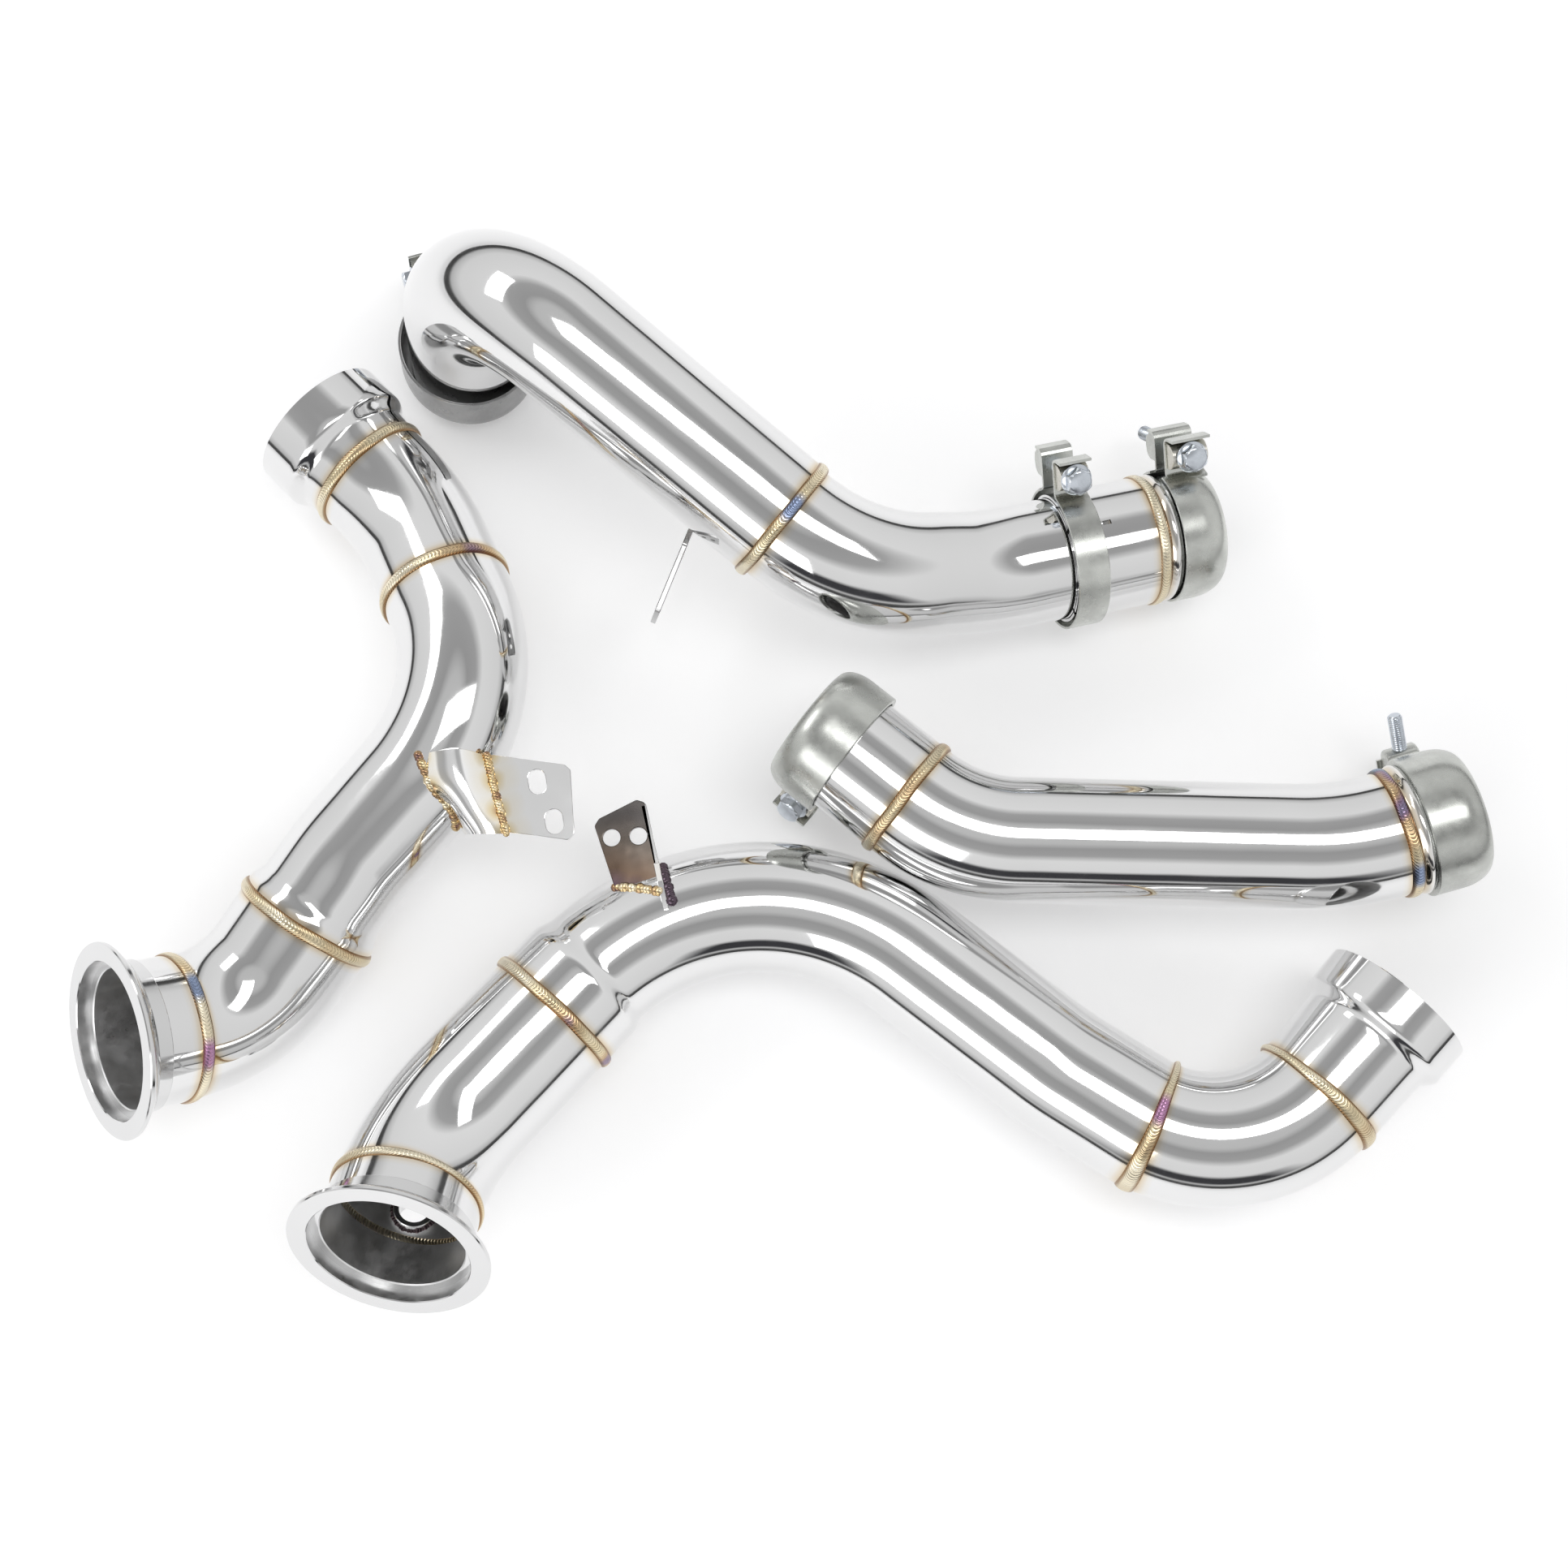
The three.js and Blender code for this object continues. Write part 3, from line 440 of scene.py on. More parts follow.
def plate(name, outline, holes, depth, matrix, mat, body, nodes=(), edge=0.3):
    """A flat outline with holes, pulled to a depth with rolled edges; matrix is in millimetres."""
    curve = bpy.data.curves.new(name, "CURVE")
    curve.dimensions = "2D"
    curve.fill_mode = "BOTH"
    curve.extrude = max(0.01, depth / 2 - edge)
    curve.bevel_depth = edge
    curve.bevel_resolution = 2
    curve.offset = -edge
    for loop in [outline] + list(holes):
        sp = curve.splines.new("POLY")
        sp.points.add(len(loop) - 1)
        for q, (x, y) in zip(sp.points, loop):
            q.co = (x, y, 0, 1)
        sp.use_cyclic_u = True
    temp = bpy.data.objects.new(name + "_curve", curve)
    bpy.context.scene.collection.objects.link(temp)
    mesh = bpy.data.meshes.new_from_object(temp.evaluated_get(bpy.context.evaluated_depsgraph_get()))
    bpy.data.objects.remove(temp)
    bpy.data.curves.remove(curve)
    co = np.array([v.co for v in mesh.vertices], float)
    m = np.array(matrix, float)
    co = co @ m[:3, :3].T + m[:3, 3]
    faces = [tuple(p.vertices) for p in mesh.polygons]
    bpy.data.meshes.remove(mesh)
    return make(name, co, faces, mat, body, nodes, 12, np.ones(len(co)))


def frame_of(x, y, z, origin):
    m = np.eye(4)
    m[:3, 0], m[:3, 1], m[:3, 2], m[:3, 3] = x, y, z, origin
    return m


def circle(cx, cy, r, n=40):
    return [(cx + r * math.cos(t), cy + r * math.sin(t)) for t in np.linspace(0, 2 * math.pi, n, False)]


def blobs(name, points, size, body, flat=0.75, pitch=1.5, mat=None):
    """A hand laid weld: overlapping dabs along a line."""
    pts = [np.array(p, float) for p in points]
    line = []
    for a, b in zip(pts, pts[1:]):
        n = max(1, int(np.linalg.norm(b - a) / pitch))
        line += [a + (b - a) * k / n for k in range(n)]
    line.append(pts[-1])
    verts, faces = [], []
    lat, lon = 6, 10
    for i, c in enumerate(line):
        r = size * (1 + 0.14 * math.sin(i * 2.3) + 0.08 * math.sin(i * 5.1))
        base = len(verts)
        for a in range(lat + 1):
            for b in range(lon):
                t, u = math.pi * a / lat, 2 * math.pi * b / lon
                d = np.array([math.sin(t) * math.cos(u), math.sin(t) * math.sin(u), flat * math.cos(t)])
                verts.append(c + r * d)
        for a in range(lat):
            for b in range(lon):
                p, q = base + a * lon + b, base + a * lon + (b + 1) % lon
                faces.append((p, p + lon, q + lon, q))
    uvs = [(v / 40.0, 0.0) for v in range(4 * len(faces))]
    return make(name, verts, faces, mat or WELD, body, (), 70, None, uvs)


# ------------------------------------------------------------------ pipes
# distances along each route: weld beads, reducer, flare and end
A = dict(bead4=35.7, bead3=126.7, bead2=338.3, bead1=424.4, end=466, reducer=139, flare=(436, 445))
D = dict(bead4=33, bead3=156.4, bead2=521.8, bead1=614.6, end=680, reducer=186, flare=(652, 660))
# the V-band flange as (distance, radius) corners
FLANGE = [(0.5, 41), (0, 41.4), (0, 50.5), (0.5, 51), (2.0, 51), (2.6, 50.6), (7.4, 44.6), (8.2, 43.2),
          (8.8, 40.6), (9.6, 39.6), (16.6, 39.6), (17, 39.2), (17, 36.5), (7.6, 36.5), (7, 37.1), (7, 41)]

for key, S in (("a", A), ("d", D)):
    route, body = ROUTE[key], BODY[key]
    sweep(f"{key}_flange_skin", route, FLANGE, INNER, body, "polished_steel", [f"{key}_flange"], [], 144,
          sharp=24)
    pipe(f"{key}_spigot_skin", key, 17.0, S["bead4"] - 2, LARGE_R + 0.4, [f"{key}_spigot"], [S["bead4"]],
         wall=1.9)
    elbow = pipe(f"{key}_elbow_skin", key, S["bead4"] + 1, S["bead3"] - 1, LARGE_R, [f"{key}_elbow"],
                 [S["bead4"], S["bead3"]])
    r0 = S["reducer"]
    soft = [(r0 - 8 + 11 * t, LARGE_R - 3.0 * (3 * t * t - 2 * t ** 3)) for t in np.linspace(0, 1, 9)]
    inner = [(s, r - WALL) for s, r in reversed(soft)]
    sweep(f"{key}_bend_skin", route,
          [(S["bead3"] + 1, LARGE_R)] + soft + [(S["bead2"] - 1, SMALL_R), (S["bead2"] - 1, SMALL_R - WALL)]
          + inner + [(S["bead3"] + 1, LARGE_R - WALL)], POLISHED, body, "polished_steel",
          [f"{key}_reducer", f"{key}_bend"], [S["bead3"], S["bead2"]])
    pipe(f"{key}_kick_skin", key, S["bead2"] + 1, S["bead1"] - 1, SMALL_R, [f"{key}_kick"],
         [S["bead2"], S["bead1"]])
    f0, f1 = S["flare"]
    flare = [(f0 + (f1 - f0) * t, SMALL_R + 0.8 + (SOCKET_R - SMALL_R - 0.8) * (3 * t * t - 2 * t ** 3))
             for t in np.linspace(0, 1, 9)]
    back = [(s, r - WALL) for s, r in reversed(flare)]
    sweep(f"{key}_socket_skin", route,
          [(S["bead1"] + 1, SMALL_R)] + flare + [(S["end"] - 0.4, SOCKET_R), (S["end"], SOCKET_R - 0.4),
           (S["end"], SOCKET_R - WALL + 0.4), (S["end"] - 0.4, SOCKET_R - WALL)] + back
          + [(S["bead1"] + 1, SMALL_R - WALL)], POLISHED, body, "polished_steel", [f"{key}_socket"],
          [S["bead1"]])
    for n, r in ((4, LARGE_R), (3, LARGE_R), (2, SMALL_R), (1, SMALL_R)):
        ring_bead(f"{key}_weld_{n}", key, S[f"bead{n}"], r, f"{key}_bead_{n}")

# the sensor boss goes through the front downpipe's wall
BOSS_AT, BOSS_BORE_R, BOSS_CUT_R, BOSS_WELD_R, BOSS_SIDES = 45, 8, 9.5, 11.6, 48
pos, way, side, up = ROUTE["d"].level(BOSS_AT)
out = -up
boss_frame = frame_of(way, np.cross(out, way), out, pos)
lathe = [(BOSS_BORE_R, -6), (8.5, -6.4), (10.6, -6.4), (11, -6), (11, 7.4), (10.4, 8), (8.6, 8),
         (BOSS_BORE_R, 7.4)]
verts, faces, n = [], [], BOSS_SIDES
for r, h in lathe:
    for k in range(n):
        t = 2 * math.pi * k / n
        corner = np.array([r * math.cos(t), r * math.sin(t), LARGE_R + h, 1])
        verts.append((boss_frame @ corner)[:3])
for i in range(len(lathe)):
    for k in range(n):
        j, l = (i + 1) % len(lathe), (k + 1) % n
        faces.append((i * n + k, i * n + l, j * n + l, j * n + k))
make("sensor_boss_skin", verts, faces, INNER, BODY["d"], ["d_sensor_boss"], 30,
     np.ones(len(verts)))
cutter_mesh = bpy.data.meshes.new("boss_cut")
turns = np.linspace(0, 2 * math.pi, n, False)
ring = [(boss_frame @ np.array([BOSS_CUT_R * math.cos(t), BOSS_CUT_R * math.sin(t), h, 1]))[:3] * MM
        for h in (20, 60) for t in turns]
walls = [(k, (k + 1) % n, n + (k + 1) % n, n + k) for k in range(n)]
ends = [tuple(range(n - 1, -1, -1)), tuple(range(n, 2 * n))]
cutter_mesh.from_pydata([list(v) for v in ring], [], walls + ends)
cutter = bpy.data.objects.new("boss_cut", cutter_mesh)
bpy.context.scene.collection.objects.link(cutter)
mod = elbow.modifiers.new("cut", "BOOLEAN")
mod.object, mod.operation, mod.solver = cutter, "DIFFERENCE", "EXACT"
cut_mesh = bpy.data.meshes.new_from_object(elbow.evaluated_get(bpy.context.evaluated_depsgraph_get()))
elbow.modifiers.clear()
elbow.data = cut_mesh
bpy.data.objects.remove(cutter)
INSIDE_R = 36.8
seat = [(boss_frame @ np.array([BOSS_WELD_R * math.cos(t), BOSS_WELD_R * math.sin(t),
                                math.sqrt(INSIDE_R ** 2 - (BOSS_WELD_R * math.sin(t)) ** 2), 1]))[:3]
        for t in np.linspace(0, 2 * math.pi, n + 1)]
blobs("sensor_boss_weld_inside", seat, 1.3, BODY["d"], mat=DARK_WELD)

B = dict(start=14.5, bead1=319.5, slip=484, tube_end=504, bead2=535, end=560)
C = dict(start=16, bead1=72, bead2=335.5, end=364.5)
pipe("b_inlet_skin", "b", B["start"], B["bead1"] - 1, SMALL_R, ["b_inlet"], [B["bead1"]])
pipe("b_bend_skin", "b", B["bead1"] + 1, B["tube_end"], MID_R, ["b_bend"], [B["bead1"]])
ring_bead("b_weld_1", "b", B["bead1"], SMALL_R - 0.2, "b_bead_1")
ring_bead("b_weld_2", "b", B["bead2"], SLIP_R - 0.6, "b_bead_2")
pipe("c_inlet_skin", "c", C["start"], C["bead1"] - 1, LINK_R, ["c_inlet"], [C["bead1"]])
pipe("c_main_skin", "c", C["bead1"] + 1, C["bead2"] - 1, LINK_R, ["c_main"], [C["bead1"], C["bead2"]])
ring_bead("c_weld_1", "c", C["bead1"], LINK_R, "c_bead_1")
ring_bead("c_weld_2", "c", C["bead2"], LINK_R, "c_bead_2")


def lip(name, key, s0, end, r, node_name, weld):
    rise = [(s0 + 7.5 * t, r + 1.8 * math.sin(math.pi * t) ** 1.2) for t in np.linspace(0, 1, 13)]
    sweep(name, ROUTE[key], [(weld + 1, r)] + rise + [(end, r), (end, r - WALL), (weld + 1, r - WALL)],
          POLISHED, BODY[key], "polished_steel", [node_name], [weld])


lip("b_outlet_skin", "b", B["bead2"] + 3.3, B["end"], MID_R, "b_outlet", B["bead2"])
lip("c_outlet_skin", "c", C["bead2"] + 3.3, C["end"], LINK_R, "c_outlet", C["bead2"])

# the slotted sleeve: a tube wall with two slits open at its free end
SLITS = ((84, 24), (169, 18))      # angle and length of each
SLIT_HALF = 1.8                    # degrees
route = ROUTE["b"]
n_side, rows = 720, np.arange(B["slip"], B["bead2"] - 1 + 0.01, 1.0)
verts, weld = [], []
for layer, r in ((0, SLIP_R), (1, MID_R + 0.35)):
    for s in rows:
        pos, way, side, up = route.level(B["slip"])
        now, way_now, _, _ = route.at(s)
        side_now = unit(side - way_now * (side @ way_now))
        up_now = np.cross(way_now, side_now)
        t = np.arange(n_side) * 2 * math.pi / n_side
        verts.append(now + r * (np.outer(np.cos(t), side_now) + np.outer(np.sin(t), up_now)))
        weld.append(np.full(n_side, min(1.0, max(0.0, abs(s - B["bead2"]) / 30 - 0.1))))


def slit(i, k):
    s = rows[i] + 0.5 - B["slip"]
    angle = (k + 0.5) * 360 / n_side
    return any(s < length and abs((angle - a + 180) % 360 - 180) < SLIT_HALF for a, length in SLITS)


count = len(rows)
solid = np.array([[not slit(i, k) for k in range(n_side)] for i in range(count - 1)])
faces = []
for i in range(count - 1):
    for k in range(n_side):
        if not solid[i, k]:
            continue
        l = (k + 1) % n_side
        o, q = i * n_side, (i + 1) * n_side
        inn = count * n_side
        faces.append((o + k, q + k, q + l, o + l)[::-1])
        faces.append((inn + o + k, inn + o + l, inn + q + l, inn + q + k)[::-1])
        if i == 0 or not solid[i - 1, k]:
            faces.append((o + k, o + l, inn + o + l, inn + o + k)[::-1])
        if i == count - 2 or not solid[i + 1, k]:
            faces.append((q + k, inn + q + k, inn + q + l, q + l)[::-1])
        if not solid[i, k - 1]:
            faces.append((o + k, inn + o + k, inn + q + k, q + k)[::-1])
        if not solid[i, (k + 1) % n_side]:
            faces.append((o + l, q + l, inn + q + l, inn + o + l)[::-1])
make("b_sleeve_skin", np.concatenate(verts), faces, POLISHED, BODY["b"],
     ["b_slip_sleeve"], 40, np.concatenate(weld))


# ------------------------------------------------------------------ brackets
def slot(cx, cy, half, length, angle):
    c, s = math.cos(math.radians(angle)), math.sin(math.radians(angle))
    loop = []
    for end, start in ((1, -90), (-1, 90)):
        for k in range(13):
            a = math.radians(start + 15 * k)
            x, y = end * (length / 2 - half) + half * math.cos(a), half * math.sin(a)
            loop.append((cx + x * c - y * s, cy + x * s + y * c))
    return loop


def on_layout(points):
    return [(x + LAYOUT[0], y + LAYOUT[1]) for x, y in points]


A_PLATE = [(-153.9, -1.4), (-114, -6.6), (-110.4, -9.6), (-107.6, -43), (-111, -46.6), (-142.2, -42.4)]
STRAP = np.array([
    [[-187.8, -3.4, 92], [-181.4, -19.5, 91], [-171.5, -31.3, 76], [-167.5, -41.2, 66]],
    [[-177.5, -2, 96.5], [-174.5, -18, 95.5], [-167.5, -33, 89], [-163, -43, 82]],
    [[-166.5, -1, 96], [-163.5, -17, 95.5], [-158.5, -33, 92.5], [-155, -44, 89.5]],
    [[-154.6, -2.1, 86.5], [-151.4, -15, 86.5], [-146.8, -31, 86.5], [-143.2, -43.4, 86.5]],
]) + LAYOUT
joint_line = [STRAP[3, j] + np.array([0.6, 0, 0.2]) for j in range(4)]
plate("a_bracket_plate_skin", fillet(on_layout(A_PLATE), 2.4), [slot(*p, 4.5, 13, 100) for p in
      on_layout([(-127.5, -16), (-118.2, -36.9)])], 3.0,
      frame_of([1, 0, 0], [0, 1, 0], [0, 0, 1], [0, 0, 84.5 + LAYOUT[2]]), PLATE, BODY["a"],
      ["a_bracket_plate"], 0.4)


def spline(rows, t):
    """Catmull-Rom through the rows."""
    n = len(rows) - 1
    i = min(int(t * n), n - 1)
    u = t * n - i
    p0, p1, p2 = rows[max(i - 1, 0)], rows[i], rows[i + 1]
    p3 = rows[min(i + 2, n)]
    return 0.5 * (2 * p1 + (p2 - p0) * u + (2 * p0 - 5 * p1 + 4 * p2 - p3) * u ** 2
                  + (3 * p1 - p0 - 3 * p2 + p3) * u ** 3)


fine = np.array([[spline(np.array([spline(STRAP[i], v) for i in range(4)]), u)
                  for v in np.linspace(0, 1, 25)] for u in np.linspace(0, 1, 25)])
under = fine + np.array([-0.6, 0.4, -3.0])
verts = np.concatenate([fine.reshape(-1, 3), under.reshape(-1, 3)])
faces, n = [], 25
for i in range(n - 1):
    for j in range(n - 1):
        a, b, c, d = i * n + j, (i + 1) * n + j, (i + 1) * n + j + 1, i * n + j + 1
        faces.append((a, b, c, d)[::-1])
        faces.append((a + n * n, d + n * n, c + n * n, b + n * n)[::-1])
for k in range(n - 1):
    for a, b in ((k, k + 1), (k + 1 + (n - 1) * n, k + (n - 1) * n), ((k + 1) * n, k * n),
                 (k * n + n - 1, (k + 1) * n + n - 1)):
        faces.append((a, b, b + n * n, a + n * n)[::-1])
make("a_bracket_strap_skin", verts, faces, PLATE, BODY["a"], ["a_bracket_strap"], 40)
foot = [ROUTE["a"].snap(p, SMALL_R + 0.3) for p in STRAP[0]]
blobs("a_bracket_foot_weld", foot, 2.4, BODY["a"], mat=BURNT)
blobs("a_bracket_joint_weld", joint_line, 2.1, BODY["a"], mat=BURNT)

D_PLATE = [(-97, -32.1), (-77.5, -22), (-73, -23.4), (-63, -74), (-87, -72), (-99.4, -36)]
d_foot = [ROUTE["d"].snap(np.array([x, y, 66.0]) + LAYOUT, SMALL_R + 0.2)
          for x, y in ((-88, -68), (-80, -71), (-72, -73), (-64, -74.5))]
plate("d_bracket_plate_skin", fillet(on_layout(D_PLATE), 2.4),
      [circle(*p, 4.6) for p in on_layout([(-90.2, -42.2), (-76.2, -41.3)])], 3.0,
      frame_of([1, 0, 0], [0, 1, 0], [0, 0, 1], [0, 0, 66.5 + LAYOUT[2]]), DARK_PLATE, BODY["d"],
      ["d_bracket"], 0.4)
start, end = np.array([-72.6, -23.5, 0]), np.array([-59, -82, 0])
along = unit(end - start)
length = float(np.linalg.norm(end - start))
leg = [(0, -8), (length * 0.5, -24), (length, -24), (length, 8), (length * 0.72, 6), (length * 0.55, 0),
       (0, 0)]
across = np.cross(along, UP)
plate("d_bracket_leg_skin", fillet(leg, 1.5), [], 3.0,
      frame_of(along, UP, across, start + np.array([0, 0, 68]) + LAYOUT + across * 1.5),
      LEG_PLATE, BODY["d"], (), 0.4)
blobs("d_bracket_foot_weld", d_foot, 2.6, BODY["d"], mat=BURNT)
leg_foot = [ROUTE["d"].snap(start + along * t * length + np.array([1.5, 0, 62]) + LAYOUT, SMALL_R + 0.2)
            for t in (0.62, 0.78, 0.95)]
blobs("d_bracket_leg_weld", leg_foot, 2.8, BODY["d"], mat=DARK_WELD)

hang_out = unit(np.array([-0.358, -0.934, 0.0]))
hang_down = np.array([-0.057, 0.3, -0.952])
hang_down = unit(hang_down - hang_out * (hang_down @ hang_out))
plate("b_hanger_skin", fillet([(0, -14), (14, -14), (22, 0), (62, 0), (62, 30), (10, 30), (0, 22)], 3.0),
      [circle(32, 15, 4.6), circle(50, 15, 4.6)], 3.0,
      frame_of(hang_out, hang_down, np.cross(hang_out, hang_down), np.array([-45.2, 136, 76]) + LAYOUT),
      HANGER, BODY["b"], ["b_hanger"], 0.5)

# ------------------------------------------------------------------ clamps
# route, distance, way it faces, clock angle, kind, radius, width, ear start, gap, bolt tail, head side, shift
CLAMPS = {
    "b_inlet_clamp": ("b", 39.6, -1, 20, "cup", 39.0, 36, 0, 8, 16, 1, (-1.6, -1.2)),
    "b_loose_clamp": ("b", 483, 1, 38, "band", 39.5, 18, 0, 16, 4, -1, (0, 0)),
    "b_outlet_clamp": ("b", 545.5, 1, 35, "cup", 36.8, 27, 3, 12, 24, -1, (0, 0)),
    "c_inlet_clamp": ("c", 36, -1, -114, "cup", 37.5, 31, 0, 12, 6, -1, (0, 0)),
    "c_outlet_clamp": ("c", 345, 1, -55, "cup", 37.5, 31, 4, 8, 20, 1, (0, 0)),
}
BAND_T, RISE, BAR_R, BAR_T, BLOCK_T, HALF_BLOCK, SHOULDER = 1.5, 10, 7, 9, 17, 7.8, 15


def local(name, verts, faces, m, mat, body, nodes=(), sharp=32):
    v = np.asarray(verts) @ m[:3, :3].T + m[:3, 3]
    return make(name, v, faces, mat, body, nodes, sharp, np.ones(len(v)))


def open_ring(profile, gap_angle, n=120):
    """A profile of (x, radius) turned about X, open at the top, with closed ends."""
    verts, faces, c = [], [], len(profile)
    turns = np.linspace(gap_angle, 2 * math.pi - gap_angle, n)
    for t in turns:
        for x, r in profile:
            verts.append((x, r * math.sin(t), r * math.cos(t)))
    for i in range(n - 1):
        for k in range(c):
            l = (k + 1) % c
            faces.append((i * c + k, i * c + l, (i + 1) * c + l, (i + 1) * c + k))
    faces.append(tuple(range(c))[::-1])
    faces.append(tuple((n - 1) * c + k for k in range(c)))
    return verts, faces


def sheet_path(path, t):
    """A thin outline round an open path."""
    pts = [np.array(p, float) for p in path]
    left, right = [], []
    for i, p in enumerate(pts):
        d = unit(pts[min(i + 1, len(pts) - 1)] - pts[max(i - 1, 0)])
        nrm = np.array([-d[1], d[0]])
        left.append(p + nrm * t / 2)
        right.append(p - nrm * t / 2)
    return left + right[::-1]


def curl(points, radius, n=6):
    """An open path with its corners rounded."""
    pts = [np.array(p, float) for p in points]
    out = [pts[0]]
    for a, p, b in zip(pts, pts[1:], pts[2:]):
        la, lb = np.linalg.norm(a - p), np.linalg.norm(b - p)
        d = min(radius, la * 0.48, lb * 0.48)
        s, e = p + (a - p) / la * d, p + (b - p) / lb * d
        out += [s * (1 - t) ** 2 + p * 2 * t * (1 - t) + e * t ** 2 for t in np.linspace(0, 1, n)]
    return out + [pts[-1]]


def bolt_mesh(x, z, y0, low):
    """A flanged hexagon head, a plain shank and a threaded tail, along Y."""
    n, rows = 48, []
    hexa = np.arange(n) * 2 * math.pi / n
    flat = 6.5 / np.cos((hexa % (math.pi / 3)) - math.pi / 6)
    for r, y in ((0.01, y0 + 7.4), (5.4, y0 + 7.4), (6.3, y0 + 7.0)):
        rows.append((np.minimum(flat, r), y))
    rows.append((np.minimum(flat, 7.1), y0 + 6.3))
    for r, y in ((None, y0 + 5.6), (None, y0 + 2.2), (8.0, y0 + 1.5), (8.5, y0 + 0.9), (8.5, y0 + 0.2),
                 (8.3, y0), (4.0, y0)):
        rows.append((flat if r is None else np.full(n, r), y))
    y = y0 - 1.0
    top = y0 - 14
    while y > low + 0.8:
        if y > top:
            rows.append((np.full(n, 4.0), y))
            y -= 4
        else:
            saw = np.abs(((y / 1.25 + np.arange(n) / n) % 1.0) * 2 - 1)
            rows.append((4.0 - 0.62 * saw, y))
            y -= 0.21
    rows += [(np.full(n, 3.3), low + 0.4), (np.full(n, 2.8), low), (np.full(n, 0.01), low)]
    verts, faces = [], []
    for r, yy in rows:
        for k in range(n):
            verts.append((x + r[k] * math.sin(hexa[k]), yy, z + r[k] * math.cos(hexa[k])))
    for i in range(len(rows) - 1):
        for k in range(n):
            l = (k + 1) % n
            faces.append((i * n + k, i * n + l, (i + 1) * n + l, (i + 1) * n + k))
    return verts, faces


for name, (key, s, facing, clock, kind, r, width, ear, gap, tail, head, shift) in CLAMPS.items():
    pos, way, side, up = ROUTE[key].level(s)
    out = side * math.cos(math.radians(clock)) + up * math.sin(math.radians(clock))
    x_axis = way * facing * head
    y_axis = np.cross(out, x_axis)
    origin = pos + np.array([shift[0], shift[1], 0])
    if head < 0:
        origin = origin + way * facing * width
    m = frame_of(x_axis, y_axis, out, origin)
    flip = head < 0
    where = (lambda v, f=flip, w=width: w - v if f else v)
    half = gap / 2
    if kind == "cup":
        outer = [(width - SHOULDER + SHOULDER * math.sin(t), r - SHOULDER / 2 * (1 - math.cos(t)))
                 for t in np.linspace(0, math.pi / 2, 14)]
        inner = [(px - 0.4 * i / 13, pr - BAND_T) for i, (px, pr) in enumerate(outer)][::-1]
        curl_in = 1.7 if key == "c" else 0.0
        rim = [(2.0, r - BAND_T), (1.2, r - BAND_T - curl_in), (0.2, r - BAND_T - curl_in),
               (0, r - BAND_T + 0.4), (0, r - 0.4)]
        profile = [(0.4, r)] + outer + inner + rim
    else:
        profile = [(0.4, r), (width - 0.4, r), (width, r - 0.4), (width, r - BAND_T + 0.4),
                   (width - 0.4, r - BAND_T), (0.4, r - BAND_T), (0, r - BAND_T + 0.4), (0, r - 0.4)]
    profile = [(where(px), pr) for px, pr in profile]
    if flip:
        profile = profile[::-1]
    start_angle = math.asin((half + 2.2) / r)
    verts, faces = open_ring(profile, start_angle)
    steel = DARK_SATIN if name == "b_inlet_clamp" else SATIN
    local(f"{name}_band_skin", verts, faces, m, steel, name, [f"{name}_band"])
    ear_length = min(22, width)
    e0 = min(where(ear), where(ear + ear_length))
    bz = r + RISE
    top = bz + 9 + 1.5
    to_x = m @ frame_of([0, 1, 0], [0, 0, 1], [1, 0, 0], [e0 + ear_length / 2, 0, 0])
    for sgn in (1, -1):
        flap = BAR_T + 2 if sgn == 1 else BLOCK_T * 0.5
        rr = r - BAND_T / 2
        lead = [(sgn * rr * math.sin(a), rr * math.cos(a)) for a in
                np.linspace(start_angle + 0.13, start_angle + 0.05, 4)]
        c = sgn * (half + BAND_T / 2)
        tip = (sgn * (half + BAND_T + flap - 0.3), top - BAND_T / 2)
        path = curl(lead + [(c, rr - 0.2), (c, top - BAND_T / 2), tip], 4.6)
        end_name = "head" if sgn == 1 else "nut"
        plate(f"{name}_ear_{end_name}", sheet_path(path, BAND_T + 0.05), [], ear_length, to_x,
              SATIN, name, (), 0.25)
    y0 = half + BAND_T + 0.3
    bar = [(y0, bz - BAR_R), (y0 + 2, bz - BAR_R)]
    bar += [(y0 + 2 + BAR_R * math.cos(a), bz + BAR_R * math.sin(a))
            for a in np.linspace(-math.pi / 2, math.pi / 2, 19)]
    bar += [(y0, bz + BAR_R)]
    plate(f"{name}_spacer_skin", bar, [], ear_length - 2, to_x, SPACER, name,
          [f"{name}_spacer"], 0.3)
    b0, h, t = -(half + BAND_T + 0.3), HALF_BLOCK, BLOCK_T
    block = [(b0, bz - h), (b0, bz + h), (b0 - t + 5, bz + h), (b0 - t + 1, bz + h - 3), (b0 - t, bz),
             (b0 - t + 1, bz - h + 3), (b0 - t + 5, bz - h)]
    plate(f"{name}_block_skin", fillet(block, 4.0), [], ear_length - 4, to_x, SATIN, f"{name}_nut_block",
          [f"{name}_block"], 1.5)
    verts, faces = bolt_mesh(e0 + ear_length / 2, bz, half + BAND_T + 0.3 + BAR_T + 0.3,
                             -(half + BAND_T + 0.3 + BLOCK_T + tail))
    local(f"{name}_bolt_skin", verts, faces, m, ZINC, f"{name}_bolt", [f"{name}_bolt"], 28)

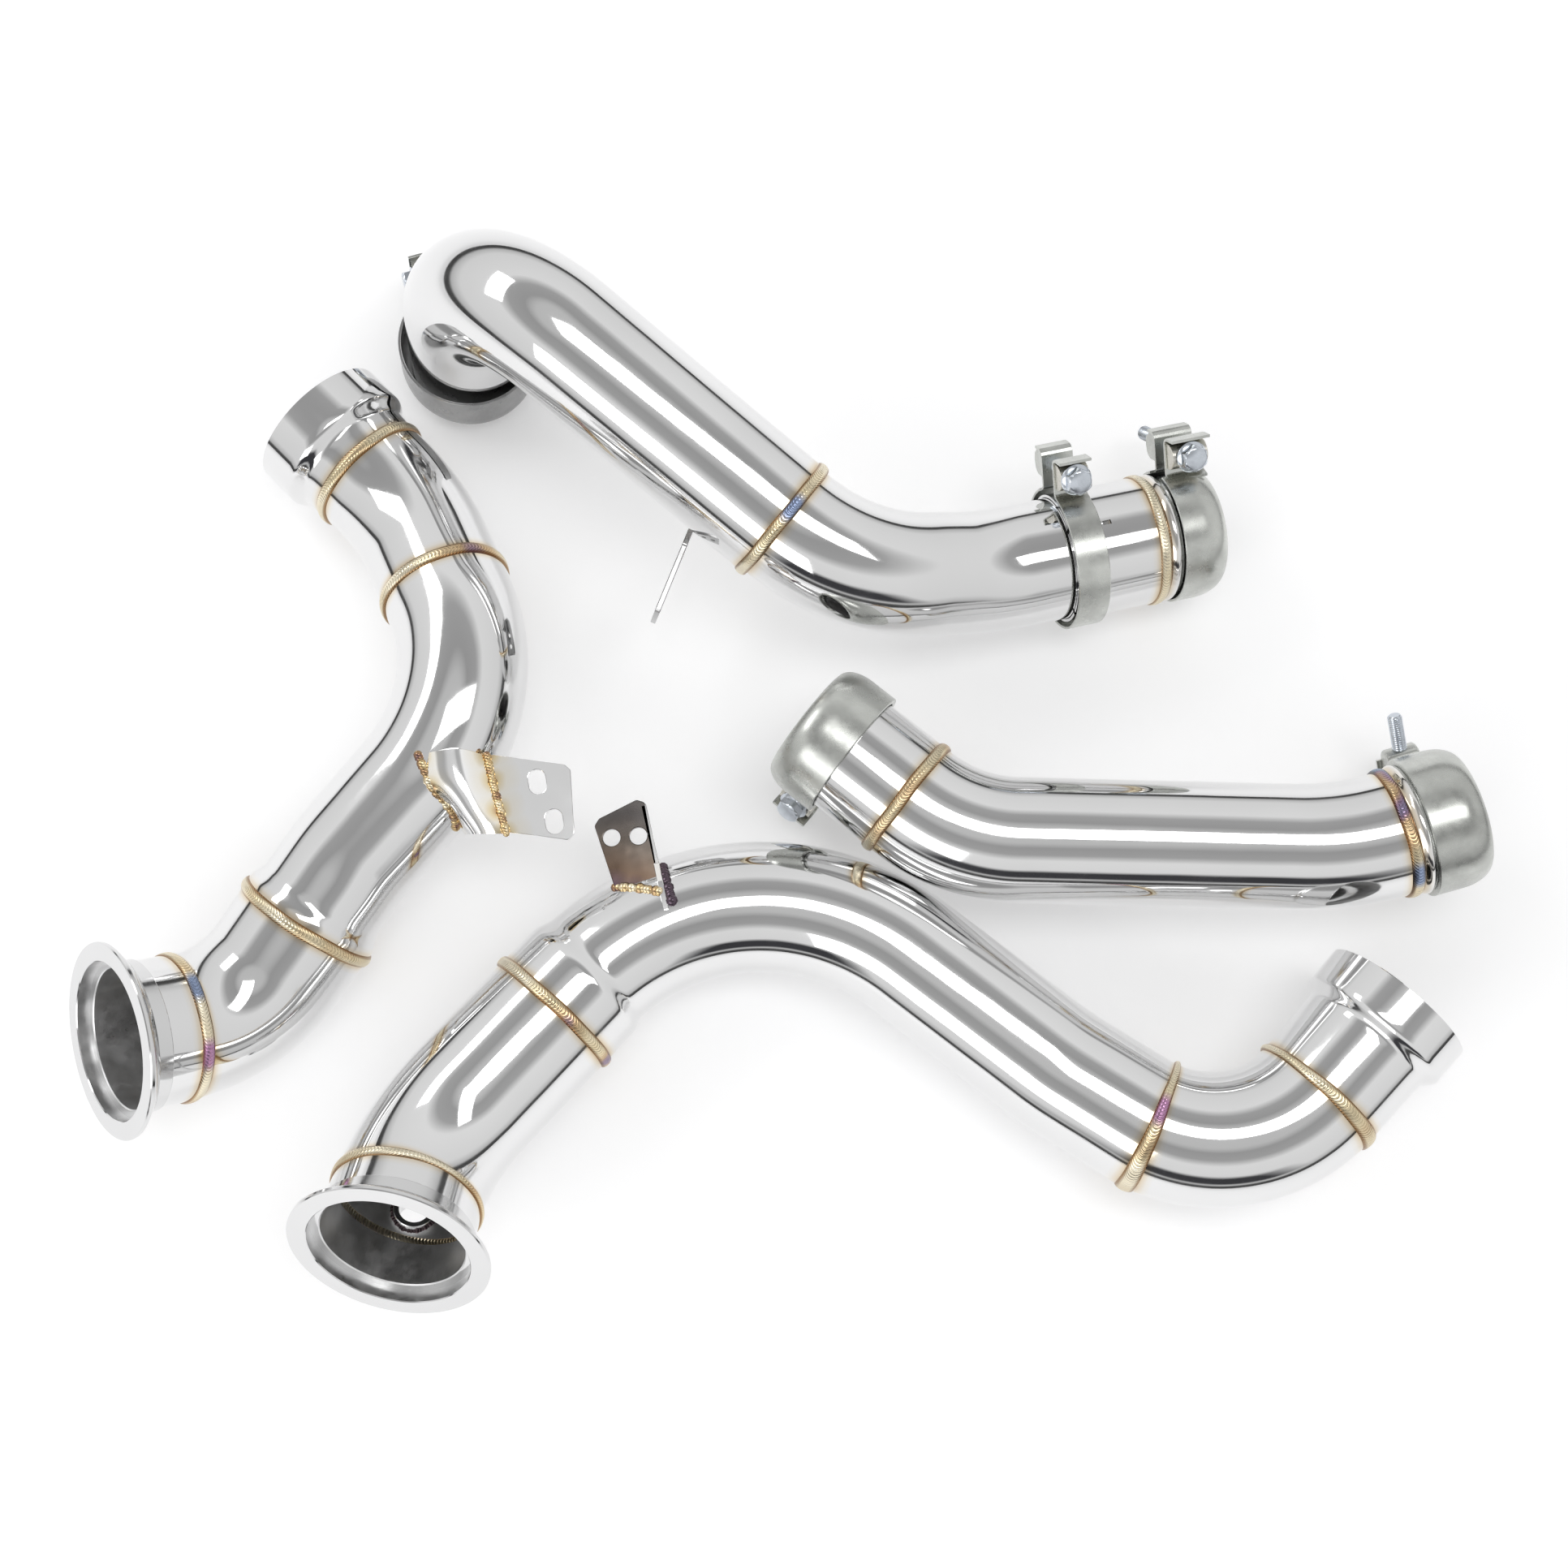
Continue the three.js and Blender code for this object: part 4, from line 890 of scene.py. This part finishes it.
# ------------------------------------------------------------------ stage
floor_mesh = bpy.data.meshes.new("floor")
floor_mesh.from_pydata([(-9, -9, 0), (9, -9, 0), (9, 9, 0), (-9, 9, 0)], [], [(0, 1, 2, 3)])
floor = bpy.data.objects.new("floor", floor_mesh)
floor.location.z = -0.0004
bpy.context.scene.collection.objects.link(floor)
m, nt, p = material("floor_paper", 0.0)
p.inputs["Base Color"].default_value = (0.88, 0.88, 0.885, 1)
p.inputs["Roughness"].default_value = 0.8
p.inputs["Specular IOR Level"].default_value = 0.15
p.inputs["Emission Color"].default_value = (1, 1, 1, 1)
p.inputs["Emission Strength"].default_value = 0.26
floor_mesh.materials.append(m)

scene = bpy.context.scene
scene.view_settings.view_transform = "Standard"
world = bpy.data.worlds.new("studio")
scene.world = world
world.use_nodes = True
wt = world.node_tree
wt.nodes.clear()
w_out = wt.nodes.new("ShaderNodeOutputWorld")
w_bg = wt.nodes.new("ShaderNodeBackground")
wt.links.new(w_bg.outputs[0], w_out.inputs[0])
w_at = wt.nodes.new("ShaderNodeTexCoord")
w_sep = wt.nodes.new("ShaderNodeSeparateXYZ")
wt.links.new(w_at.outputs["Generated"], w_sep.inputs[0])
BRIGHTNESS = ((0.0, 0.06), (0.07, 0.08), (0.11, 0.55), (0.24, 0.80), (0.68, 0.86), (0.80, 0.42), (0.91, 0.38),
              (0.96, 0.60), (1.0, 0.62))
height = ramp(wt, w_sep.outputs[2], [(pos, grey(v)) for pos, v in BRIGHTNESS])
front = ramp(wt, maths(wt, "MULTIPLY", w_sep.outputs[1], -1.0), [(0.80, grey(0.0)), (0.90, grey(1.0))])
low = ramp(wt, w_sep.outputs[2], [(0.12, grey(0.0)), (0.17, grey(1.0)), (0.34, grey(1.0)), (0.42, grey(0.0))])
dark = mix(wt, 1.0, front.outputs[0], low.outputs[0], "MULTIPLY")
sky = mix(wt, dark, height.outputs[0], (0.05, 0.05, 0.055))
path = wt.nodes.new("ShaderNodeLightPath")
seen = mix(wt, path.outputs["Is Camera Ray"], sky, (0.96, 0.96, 0.965))
wt.links.new(seen, w_bg.inputs[0])


def soft_box(name, at, towards, size_x, size_y, power):
    light = bpy.data.lights.new(name, "AREA")
    light.shape = "RECTANGLE"
    light.size, light.size_y, light.energy = size_x, size_y, power
    o = bpy.data.objects.new(name, light)
    o.location = at
    o.rotation_euler = (Vector(towards) - Vector(at)).to_track_quat("-Z", "Y").to_euler()
    scene.collection.objects.link(o)


soft_box("overhead", (0.42, 0.02, 1.75), (0, 0, 0), 0.50, 1.30, 6.5)
soft_box("back_left", (-0.99, 0.70, 1.10), (-0.1, 0, 0), 0.9, 0.35, 3.0)
soft_box("front_left", (-0.60, -0.95, 0.80), (-0.05, 0.1, 0), 0.95, 0.50, 3.2)

camera = bpy.data.cameras.new("camera")
camera.lens, camera.sensor_width = 43.95, 36
camera.clip_start, camera.clip_end = 0.02, 50
eye = bpy.data.objects.new("camera", camera)
eye.location = (0.003154, -0.22578, 1.05552)
look = Vector((0.003154, -0.013742, 0.000227)) - eye.location
eye.rotation_euler = look.to_track_quat("-Z", "Y").to_euler()
scene.collection.objects.link(eye)
scene.camera = eye
